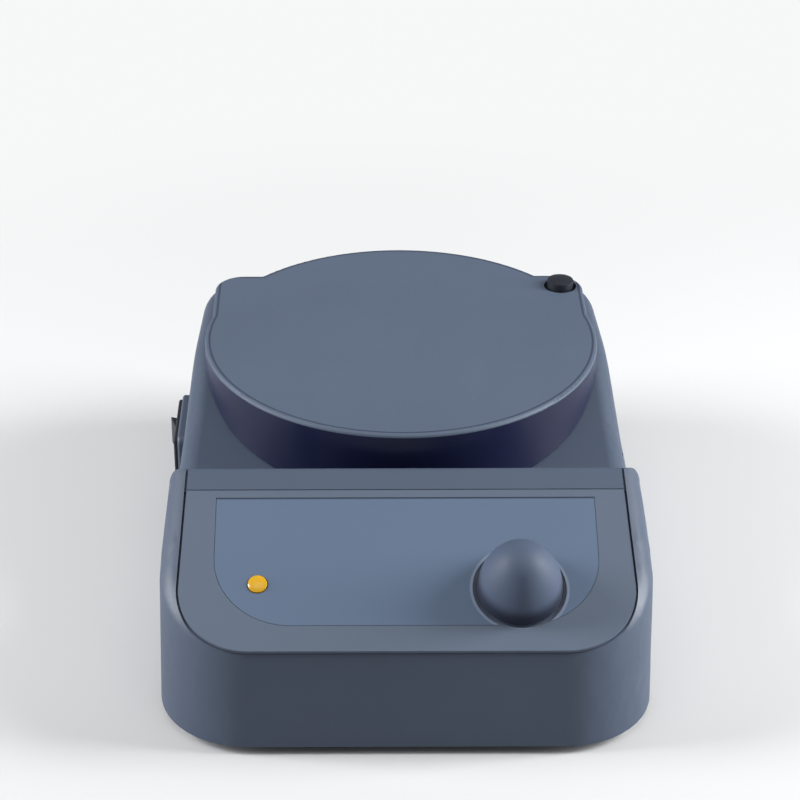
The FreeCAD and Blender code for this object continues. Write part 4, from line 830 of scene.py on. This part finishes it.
FINISHES: dict[Slot, Finish] = {finish.slot: finish for finish in (
    MouldedPlastic(Slot.CASING, (0.055, 0.073, 0.109), 0.42),
    # Panel and knob darken toward their foot with painted shade.
    PaintedShadePlastic(Slot.PANEL, (0.073, 0.095, 0.134), 0.5, dark_at=0.0744, clear_at=0.0752),
    SatinFilm(Slot.FILM, (0.079, 0.113, 0.174), 0.5),
    CoatedPlate(Slot.PLATE, (0.066, 0.088, 0.128), 0.55),
    PaintedShadePlastic(Slot.KNOB, (0.054, 0.073, 0.114), 0.55, depth=0.00002, grain_scale=3200.0, gloss=0.35,
                  dark_at=0.079, clear_at=0.0845),
    ClearLens(Slot.AMBER, (0.6, 0.33, 0.015), 0.15, transmission=0.15),
    ClearLens(Slot.LED, (0.9, 0.9, 0.85), 0.1),
    MouldedPlastic(Slot.BLACK, (0.013, 0.015, 0.021), 0.42, depth=0.00002, grain_scale=3000.0),
    MouldedPlastic(Slot.COVER, (0.03, 0.032, 0.037), 0.55, depth=0.00005, grain_scale=1900.0),
    SoftRubber(Slot.RUBBER, (0.028, 0.028, 0.03), 0.75),
    SoftRubber(Slot.SILICONE, (0.6, 0.6, 0.57), 0.6, dust=(0.4, 0.4, 0.38)),
    MachinedMetal(Slot.STEEL, (0.56, 0.56, 0.57), 0.3),
    MachinedMetal(Slot.ZINC, (0.6, 0.61, 0.63), 0.34, run=Axis.X),
    MachinedMetal(Slot.ALUMINIUM, (0.72, 0.73, 0.74), 0.36, run=Axis.Y),
    MachinedMetal(Slot.NICKEL, (0.68, 0.66, 0.62), 0.18),
    MachinedMetal(Slot.BRASS, (0.75, 0.56, 0.24), 0.28, run=Axis.Y),
    LayeredStack(Slot.MICA, (0.5, 0.41, 0.28), 0.5),
    FeltedFibre(Slot.FIBRE, (0.8, 0.78, 0.72), 0.95),
    SolderMask(Slot.BOARD, (0.02, 0.16, 0.07), 0.35),
    LayeredStack(Slot.CORE, (0.13, 0.13, 0.14), 0.45, along=Axis.X, metallic=0.8),
    LayeredStack(Slot.TAPE, (0.62, 0.46, 0.1), 0.4, sheet=0.0012),
    ClearLens(Slot.GLASS, (0.9, 0.93, 0.92), 0.04, transmission=1.0),
)}


class Wardrobe:
    """Materials by name, made when first asked for."""

    made: dict[str, bpy.types.Material] = {}

    @classmethod
    def of(cls, slot: Slot) -> bpy.types.Material:
        """Material of a slot of the record."""
        return cls.own(slot.value, FINISHES[slot])

    @classmethod
    def own(cls, name: str, finish: Finish) -> bpy.types.Material:
        """Material of a finish.

        Args:
            name: Name of the material.
            finish: Its finish.

        Returns:
            The material.
        """
        if name not in cls.made:
            cls.made[name] = finish.build(name)
        return cls.made[name]


def new_object(name: str, data: bpy.types.ID) -> bpy.types.Object:
    """Object at the origin and in the scene.

    Args:
        name: Its name.
        data: Its mesh, lamp or camera.

    Returns:
        The object.
    """
    piece = bpy.data.objects.new(name, data)
    bpy.context.scene.collection.objects.link(piece)
    return piece


def smooth(mesh: bpy.types.Mesh, degrees: float = 32.0) -> None:
    """Shade a mesh smooth except at its real edges."""
    mesh.polygons.foreach_set("use_smooth", [True] * len(mesh.polygons))
    mesh.set_sharp_from_angle(angle=math.radians(degrees))


def settle(piece: bpy.types.Object) -> None:
    """Turn the result of a piece's modifiers into its own plain mesh.

    Args:
        piece: Object with modifiers.
    """
    bpy.context.view_layer.update()
    evaluated = piece.evaluated_get(bpy.context.evaluated_depsgraph_get())
    mesh = bpy.data.meshes.new_from_object(evaluated, preserve_all_data_layers=True,
                                           depsgraph=bpy.context.evaluated_depsgraph_get())
    mesh.name = piece.name
    piece.modifiers.clear()
    piece.data = mesh


@dataclass
class Dressed:
    """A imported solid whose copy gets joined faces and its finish."""

    node: str
    sharp: float = 32.0
    choose: Optional[Callable[[bmesh.types.BMFace], int]] = None
    mend: Optional[Callable[[bmesh.types.BMesh], None]] = None
    extra: tuple[bpy.types.Material, ...] = ()

    def build(self) -> None:
        """Copy the solid, join its flat faces and let the copy stand for it.

        Its large flat faces keep flat shading beside their rounded edges.
        """
        mesh = frame["nodes"][self.node].data.copy()
        mesh.name = f"{self.node}_skin"
        work = bmesh.new()
        work.from_mesh(mesh)
        bmesh.ops.remove_doubles(work, verts=work.verts, dist=MERGE_REACH)
        bmesh.ops.dissolve_limit(work, angle_limit=FLAT_ANGLE, verts=work.verts, edges=work.edges)
        if self.mend:
            self.mend(work)
        mesh.materials.clear()
        for material in (Wardrobe.of(SLOTS[self.node]), *self.extra):
            mesh.materials.append(material)
        if self.choose:
            for face in work.faces:
                face.material_index = self.choose(face)
        work.to_mesh(mesh)
        work.free()
        if "custom_normal" in mesh.attributes:
            mesh.attributes.remove(mesh.attributes["custom_normal"])
        smooth(mesh, self.sharp)
        piece = new_object(f"{self.node}_skin", mesh)
        weights = piece.modifiers.new("weights", "WEIGHTED_NORMAL")
        weights.keep_sharp = True
        weights.weight = 90
        settle(piece)
        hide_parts(self.node)
        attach(piece, BODIES[self.node])
        LOG.info("%s: %d faces", piece.name, len(mesh.polygons))


@dataclass
class HeatingTop:
    """Round heating plate with its skirt darkened by painted shade."""

    thickness: float = 3.5 * MM
    # painted shade: the skirt gets a much darker copy of the plate's coating
    skirt: SkirtPaintedShade = SkirtPaintedShade(Slot.PLATE, (0.0045, 0.0065, 0.03), 0.36, depth=0.00002,
                                     grain_scale=3000.0)

    def build(self) -> None:
        """Dress the plate: satin on top, a darker finish as painted shade on the skirt."""
        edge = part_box("heating_plate")[1].z - self.thickness
        skirt_shade_material = Wardrobe.own("skirt_painted_shade", self.skirt)
        Dressed("heating_plate", extra=(skirt_shade_material,),
                choose=lambda face: int(min(vert.co.z for vert in face.verts) < edge)).build()


@dataclass
class Casing:
    """Moulded casing with the bottom cover."""

    boss_across: float = 65.06 * MM
    boss_forward: float = 88.96 * MM
    boss_radius: float = 4.5 * MM
    boss_top: float = 27.0 * MM
    outward: tuple[float, float, float] = (0.69, -0.73, 0.0)
    outward_share: float = 0.8
    rim_share: float = 0.85
    side_slack: float = 0.04 * MM
    top_slack: float = 0.02 * MM

    def boss_offset(self, spot: Vector) -> Vector:
        """Level vector from the nearest front screw boss to a spot."""
        return Vector((abs(spot.x) - self.boss_across, spot.y + self.boss_forward, 0.0))

    def shows(self, face: bmesh.types.BMFace) -> bool:
        """Whether a face is the side or the top of a boss outside the wall.

        Args:
            face: Face of the casing's copy.

        Returns:
            True for a face to level.
        """
        spots = [self.boss_offset(vert.co) for vert in face.verts]
        middle = sum(spots, Vector()) / len(spots)
        outside = middle.dot(Vector(self.outward)) >= self.outward_share * middle.length
        if middle.length < self.rim_share * self.boss_radius or not outside:
            return False
        side = all(abs(spot.length - self.boss_radius) < self.side_slack for spot in spots)
        top = all(abs(vert.co.z - self.boss_top) < self.top_slack for vert in face.verts)
        return side or (top and middle.length < self.boss_radius)

    def level_bosses(self, work: bmesh.types.BMesh) -> None:
        """Close the leaning wall where the front screw bosses touch its outer side.

        Args:
            work: The casing's copied mesh, changed in place.
        """
        shown = [face for face in work.faces if self.shows(face)]
        rims = {edge for face in shown for edge in face.edges}
        LOG.info("boss faces levelled: %d", len(shown))
        bmesh.ops.delete(work, geom=shown, context="FACES_ONLY")
        rims = [edge for edge in rims if edge.is_valid and len(edge.link_faces) == 1]
        bmesh.ops.holes_fill(work, edges=rims, sides=0)
        bmesh.ops.delete(work, geom=[edge for edge in work.edges if edge.is_wire], context="EDGES")

    def build(self) -> None:
        """Dress the casing and its cover."""
        Dressed("main_casing", mend=self.level_bosses).build()
        Dressed("bottom_cover").build()


@dataclass
class ControlConsole:
    """Control panel with its film, lamp and knob."""

    knob_across: float = 34.6 * MM
    knob_up: float = -52.8 * MM
    dish_radius: float = 14.3 * MM
    dish_inside: float = 1.2 * MM
    dish_outside: float = 0.3 * MM
    slopes: tuple[float, float] = (0.3, 0.95)
    crease: float = 0.13 * MM
    edge_slack: float = 0.02 * MM
    # painted highlight: a lighter copy of the panel's plastic for the dish's slope
    ring: MouldedPlastic = MouldedPlastic(Slot.PANEL, (0.17, 0.2, 0.27), 0.3, gloss=0.6)

    def close_crease(self, work: bmesh.types.BMesh) -> None:
        """Move the panel's upper edge up to the casing's ridge.

        Args:
            work: The panel's copied mesh, changed in place.
        """
        edge = max(vert.co.dot(PANEL_UP) for vert in work.verts)
        for vert in work.verts:
            if vert.co.dot(PANEL_UP) > edge - self.edge_slack:
                vert.co += PANEL_UP * self.crease

    def on_ring(self, face: bmesh.types.BMFace) -> int:
        """1 for the dished ring's slope around the knob, which gets the painted highlight, 0 elsewhere.

        Args:
            face: Face of the panel's copy.

        Returns:
            Index of its material.
        """
        spot = face.calc_center_median()
        reach = math.hypot(spot.x - self.knob_across, spot.dot(PANEL_UP) - self.knob_up)
        slope = self.slopes[0] < face.normal.dot(PANEL_AXIS) < self.slopes[1]
        return int(slope and -self.dish_inside < reach - self.dish_radius < self.dish_outside)

    def build(self) -> None:
        """Dress the panel and what sits on it."""
        Dressed("control_panel", mend=self.close_crease, choose=self.on_ring,
                extra=(Wardrobe.own("dish_ring_highlight", self.ring),)).build()
        Dressed("panel_film").build()
        Dressed("control_knob", sharp=40.0).build()
        Dressed("indicator_lens", sharp=40.0).build()


@dataclass
class SideFittings:
    """Power switch, mains inlet, fuse drawer and rod socket."""

    nodes: tuple[str, ...] = ("switch_housing", "switch_rocker", "mains_inlet", "fuse_drawer", "rod_socket",
                              "rod_socket_cap")

    def build(self) -> None:
        """Dress each fitting, with its softer edges kept smooth."""
        for node in self.nodes:
            Dressed(node, sharp=36.0).build()


class Recipe(Graph):
    """Geometry node tree with named inputs that makes a repeated piece at the points of a mesh."""

    def __init__(self, name: str, sizes: dict[str, float]) -> None:
        """Start a tree.

        Args:
            name: Name of the tree and of the piece.
            sizes: Named sizes, in metres, with their values.
        """
        super().__init__(bpy.data.node_groups.new(name, "GeometryNodeTree"))
        self.name = name
        self.sizes = sizes
        sockets = self.tree.interface
        sockets.new_socket(name="Geometry", in_out="INPUT", socket_type="NodeSocketGeometry")
        self.keys = {title: sockets.new_socket(name=title, in_out="INPUT", socket_type="NodeSocketFloat")
                     for title in sizes}
        sockets.new_socket(name="Geometry", in_out="OUTPUT", socket_type="NodeSocketGeometry")
        self.start = self.add("NodeGroupInput").outputs

    def lathe(self, low_radius: Value, high_radius: Value, low: Value, height: Value,
              sides: int = 40) -> Socket:
        """Round piece that stands on a height.

        Args:
            low_radius: Radius at its foot.
            high_radius: Radius at its top.
            low: Height of its foot.
            height: Its own height.
            sides: Faces round it.

        Returns:
            Its geometry.
        """
        solid = self.add("GeometryNodeMeshCone", {"Vertices": sides, "Radius Top": high_radius,
                                                  "Radius Bottom": low_radius, "Depth": height})
        return self.move(solid.outputs["Mesh"], low)

    def move(self, geometry: Socket, height: Value) -> Socket:
        """Raise a geometry by a height."""
        lift = self.add("ShaderNodeCombineXYZ", {2: height}).outputs[0]
        return self.add("GeometryNodeTransform", {"Geometry": geometry, "Translation": lift}).outputs[0]

    def slab(self, across: Value, along: Value, tall: Value) -> Socket:
        """Block with its middle at the origin."""
        return self.add("GeometryNodeMeshCube", {"Size": self.vector(across, along, tall)}).outputs[0]

    def ring(self, radius: Value, thickness: Value, height: Value) -> Socket:
        """Round bead that lies flat at a height.

        Args:
            radius: Radius of the bead's circle.
            thickness: Radius of the bead.
            height: Height of its middle.

        Returns:
            Its geometry.
        """
        path, section = (self.add("GeometryNodeCurvePrimitiveCircle", {"Resolution": sides, "Radius": size})
                         for sides, size in ((48, radius), (10, thickness)))
        bead = self.add("GeometryNodeCurveToMesh", {"Curve": path.outputs[0],
                                                    "Profile Curve": section.outputs[0]})
        return self.move(bead.outputs[0], height)

    def cut(self, base: Socket, *tools: Socket) -> Socket:
        """Take tools out of a geometry.

        Args:
            base: Geometry that is cut.
            *tools: Geometries that are taken out.

        Returns:
            What is left.
        """
        node = self.add("GeometryNodeMeshBoolean", {0: base}, operation="DIFFERENCE", solver="EXACT")
        for tool in tools:
            self.feed(node.inputs[1], tool)
        return node.outputs[0]

    def join(self, *parts: Socket) -> Socket:
        """Several geometries as one.

        Args:
            *parts: Geometries to join.

        Returns:
            The joined geometry.
        """
        node = self.add("GeometryNodeJoinGeometry")
        for part in parts:
            self.feed(node.inputs[0], part)
        return node.outputs[0]

    def make(self, unit: Socket, spots: Sequence[tuple[float, float, float]], slot: Slot,
             *nodes: str) -> None:
        """Repeat the unit at the spots and turn the result into a plain piece.

        Args:
            unit: Geometry of one copy.
            spots: Where the copies stand, in metres.
            slot: Finish of the piece.
            *nodes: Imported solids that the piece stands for.
        """
        placed = self.add("GeometryNodeInstanceOnPoints", {"Points": self.start[0], "Instance": unit})
        real = self.add("GeometryNodeRealizeInstances", {0: placed.outputs[0]})
        dressed = self.add("GeometryNodeSetMaterial", {"Geometry": real.outputs[0],
                                                       "Material": Wardrobe.of(slot)})
        self.add("NodeGroupOutput", {0: dressed.outputs[0]})
        mesh = bpy.data.meshes.new(self.name)
        mesh.from_pydata(list(spots), [], [])
        piece = new_object(self.name, mesh)
        maker = piece.modifiers.new("maker", "NODES")
        maker.node_group = self.tree
        for title, number in self.sizes.items():
            maker[self.keys[title].identifier] = number
        settle(piece)
        smooth(piece.data, 35.0)
        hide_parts(*nodes)
        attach(piece, BODIES[nodes[0]])
        LOG.info("%s: %d copies, %d faces", self.name, len(spots), len(piece.data.polygons))


@dataclass
class Underside:
    """Rubber feet and the cover screws, in metres."""

    foot_across: float = 0.05
    foot_front: float = -0.0777
    foot_rear: float = 0.0725
    foot_radius: float = 0.008
    foot_height: float = 0.003
    stem_height: float = 0.0036
    bead: float = 0.00035
    bead_rings: tuple[float, float] = (0.78, 0.5)
    screws: tuple[tuple[float, float], ...] = ((-0.06506, -0.08896), (0.06506, -0.08896),
                                               (-0.05777, 0.08547), (0.05777, 0.08547))
    seat: float = 0.003
    head_radius: float = 0.0036
    head_height: float = 0.0026
    shank_radius: float = 0.002
    shank_length: float = 0.014

    def build(self) -> None:
        """Make both sets."""
        self.feet()
        self.cover_screws()

    def feet(self) -> None:
        """Four feet, each a pad with two beads to grip with and a stem through the cover."""
        recipe = Recipe("rubber_feet_ribbed", {"Radius": self.foot_radius, "Height": self.foot_height,
                                               "Bead": self.bead})
        radius, height, bead = (recipe.start[title] for title in recipe.sizes)
        foot, low, high = (recipe.times(radius, share) for share in (0.9, 0.325, 0.3))
        pad = recipe.lathe(foot, radius, bead, recipe.maths("SUBTRACT", height, bead), 56)
        stem = recipe.lathe(low, high, height, self.stem_height, 24)
        beads = [recipe.ring(recipe.times(radius, part), bead, bead) for part in self.bead_rings]
        spots = [(side * self.foot_across, depth, 0.0) for depth in (self.foot_front, self.foot_rear)
                 for side in (-1, 1)]
        recipe.make(recipe.join(pad, stem, *beads), spots, Slot.RUBBER, "rubber_feet")

    def cover_screws(self) -> None:
        """Four pan-head screws with a cross recess."""
        recipe = Recipe("cover_screws_crossed", {"Head": self.head_radius, "Height": self.head_height,
                                                 "Shank": self.shank_radius, "Length": self.shank_length})
        head, height, shank, length = (recipe.start[title] for title in recipe.sizes)
        crown = recipe.times(height, 0.35)
        pan = recipe.lathe(recipe.times(head, 0.82), head, 0.0, crown)
        rim = recipe.lathe(head, head, crown, recipe.maths("SUBTRACT", height, crown))
        wide, slim, tall = recipe.times(head, 1.05), recipe.times(head, 0.24), recipe.times(height, 1.1)
        cross = [recipe.slab(*sizes, tall) for sizes in ((wide, slim), (slim, wide))]
        body = recipe.lathe(shank, recipe.times(shank, 0.9), height, length, 24)
        spots = [(x, y, self.seat - self.head_height) for x, y in self.screws]
        recipe.make(recipe.join(recipe.cut(pan, *cross), recipe.cut(rim, *cross), body), spots,
                    Slot.ZINC, "cover_screws")


@dataclass(frozen=True)
class Lamp:
    """Soft rectangular lamp."""

    name: str
    place: tuple[float, float, float]
    target: tuple[float, float, float]
    size: tuple[float, float]
    watts: float

    def build(self) -> None:
        """Hang the lamp where it faces its target."""
        lamp = bpy.data.lights.new(self.name, "AREA")
        lamp.shape = "RECTANGLE"
        lamp.size, lamp.size_y = self.size
        lamp.energy = self.watts
        holder = new_object(self.name, lamp)
        holder.location = self.place
        holder.rotation_euler = (Vector(self.target) - Vector(self.place)).to_track_quat("-Z", "Y").to_euler()


@dataclass
class Studio:
    """Floor, lights and camera, in metres, degrees and pixels of the photograph."""

    focal_px: float = 2234.1
    frame_px: float = 800.0
    sensor: float = 36.0
    distance: float = 0.8
    elevation: float = 29.86
    offset: float = -0.015
    look_y: float = 0.0485
    look_z: float = 0.04
    shift_px: float = 42.5
    roll: float = -0.17
    floor_reach: float = 6.0
    plain_floor: float = 0.14
    plain_beyond: float = 0.42
    floor_shade_span: tuple[float, float] = (-0.17, -0.05)
    floor_shade_tones: tuple[Colour, Colour] = ((0.515, 0.518, 0.521), (0.575, 0.578, 0.581))
    floor_bounce: Colour = (0.42, 0.43, 0.45)
    backdrop: Colour = (0.93, 0.935, 0.94)
    sky_tone: Colour = (0.95, 0.97, 1.0)
    sky_strength: float = 0.25
    lamps: tuple[Lamp, ...] = (
        Lamp("overhead", (0.0, -0.35, 1.35), (0.0, 0.0, 0.0), (1.2, 1.0), 4.8),
        Lamp("left_strip", (-0.95, -0.05, 0.45), (0.0, 0.0, 0.04), (0.35, 0.8), 16.0),
        Lamp("right_strip", (0.95, -0.05, 0.45), (0.0, 0.0, 0.04), (0.35, 0.8), 21.0),
    )

    def build(self) -> None:
        """Make everything that isn't part of the object."""
        self.floor()
        self.lights()
        self.camera()

    def floor(self) -> None:
        """Pale floor that looks plain to the camera, with painted shade toward the front, and sends less
        light back up.
        """
        work = bmesh.new()
        bmesh.ops.create_grid(work, x_segments=1, y_segments=1, size=self.floor_reach)
        mesh = bpy.data.meshes.new("floor")
        work.to_mesh(mesh)
        work.free()
        material = bpy.data.materials.new("pale_floor")
        material.use_nodes = True
        tree = material.node_tree
        tree.nodes.clear()
        graph = Graph(tree)
        place = graph.place()
        seen = graph.add("ShaderNodeLightPath").outputs["Is Camera Ray"]
        # painted shade: the floor is darker toward the front, where the lamps light it more
        pale = graph.mix(graph.ramp(graph.split(place)[1], *self.floor_shade_span), *self.floor_shade_tones)
        colour = graph.mix(seen, self.floor_bounce, pale)
        shader = graph.add("ShaderNodeBsdfPrincipled", {"Base Color": colour, "Roughness": 0.9,
                                                        "Specular IOR Level": 0.1})
        glow = graph.add("ShaderNodeEmission", {"Color": self.backdrop, "Strength": 1.0})
        far = graph.times(seen, graph.ramp(graph.length(place), self.plain_floor, self.plain_beyond))
        blend = graph.add("ShaderNodeMixShader", {0: far, 1: shader.outputs[0], 2: glow.outputs[0]})
        graph.add("ShaderNodeOutputMaterial", {"Surface": blend.outputs[0]})
        mesh.materials.append(material)
        new_object("floor", mesh)

    def lights(self) -> None:
        """Large lamp overhead, a soft strip on each side and an even sky."""
        for lamp in self.lamps:
            lamp.build()
        world = bpy.data.worlds.new("sky")
        bpy.context.scene.world = world
        world.use_nodes = True
        graph = Graph(world.node_tree)
        world.node_tree.nodes.clear()
        back = graph.add("ShaderNodeBackground", {"Color": self.sky_tone, "Strength": self.sky_strength})
        seen = graph.add("ShaderNodeBackground", {"Color": self.backdrop, "Strength": 1.0})
        camera_ray = graph.add("ShaderNodeLightPath").outputs["Is Camera Ray"]
        blend = graph.add("ShaderNodeMixShader", {0: camera_ray, 1: back.outputs[0], 2: seen.outputs[0]})
        graph.add("ShaderNodeOutputWorld", {"Surface": blend.outputs[0]})

    def camera(self) -> None:
        """Camera fitted to the photograph, with a shifted lens."""
        data = bpy.data.cameras.new("camera")
        data.sensor_width = self.sensor
        data.lens = self.focal_px / self.frame_px * self.sensor
        data.shift_x = self.shift_px / self.frame_px
        data.clip_start, data.clip_end = 0.05, 50.0
        camera = new_object("camera", data)
        tilt = math.radians(self.elevation)
        back = Vector((0.0, -math.cos(tilt), math.sin(tilt))) * self.distance
        camera.location = Vector((self.offset, self.look_y, self.look_z)) + back
        turn = Matrix.Rotation(math.radians(90.0 - self.elevation), 4, "X")
        camera.rotation_euler = (turn @ Matrix.Rotation(math.radians(self.roll), 4, "Z")).to_euler()
        bpy.context.scene.camera = camera
        bpy.context.scene.view_settings.view_transform = "Standard"


def dress_hidden() -> None:
    """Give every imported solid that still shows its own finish."""
    for name, node in frame["nodes"].items():
        if node.hide_render:
            continue
        slot = SLOTS[name]
        node.data.materials.clear()
        node.data.materials.append(Wardrobe.of(slot))
        LOG.info("%s keeps its solid in %s", name, slot.value)


def main() -> None:
    """Build the sub-assemblies, then the studio."""
    logging.basicConfig(level=logging.INFO, format="%(name)s: %(message)s")
    Casing().build()
    HeatingTop().build()
    ControlConsole().build()
    SideFittings().build()
    Underside().build()
    dress_hidden()
    Studio().build()


if __name__ == "__main__":
    main()
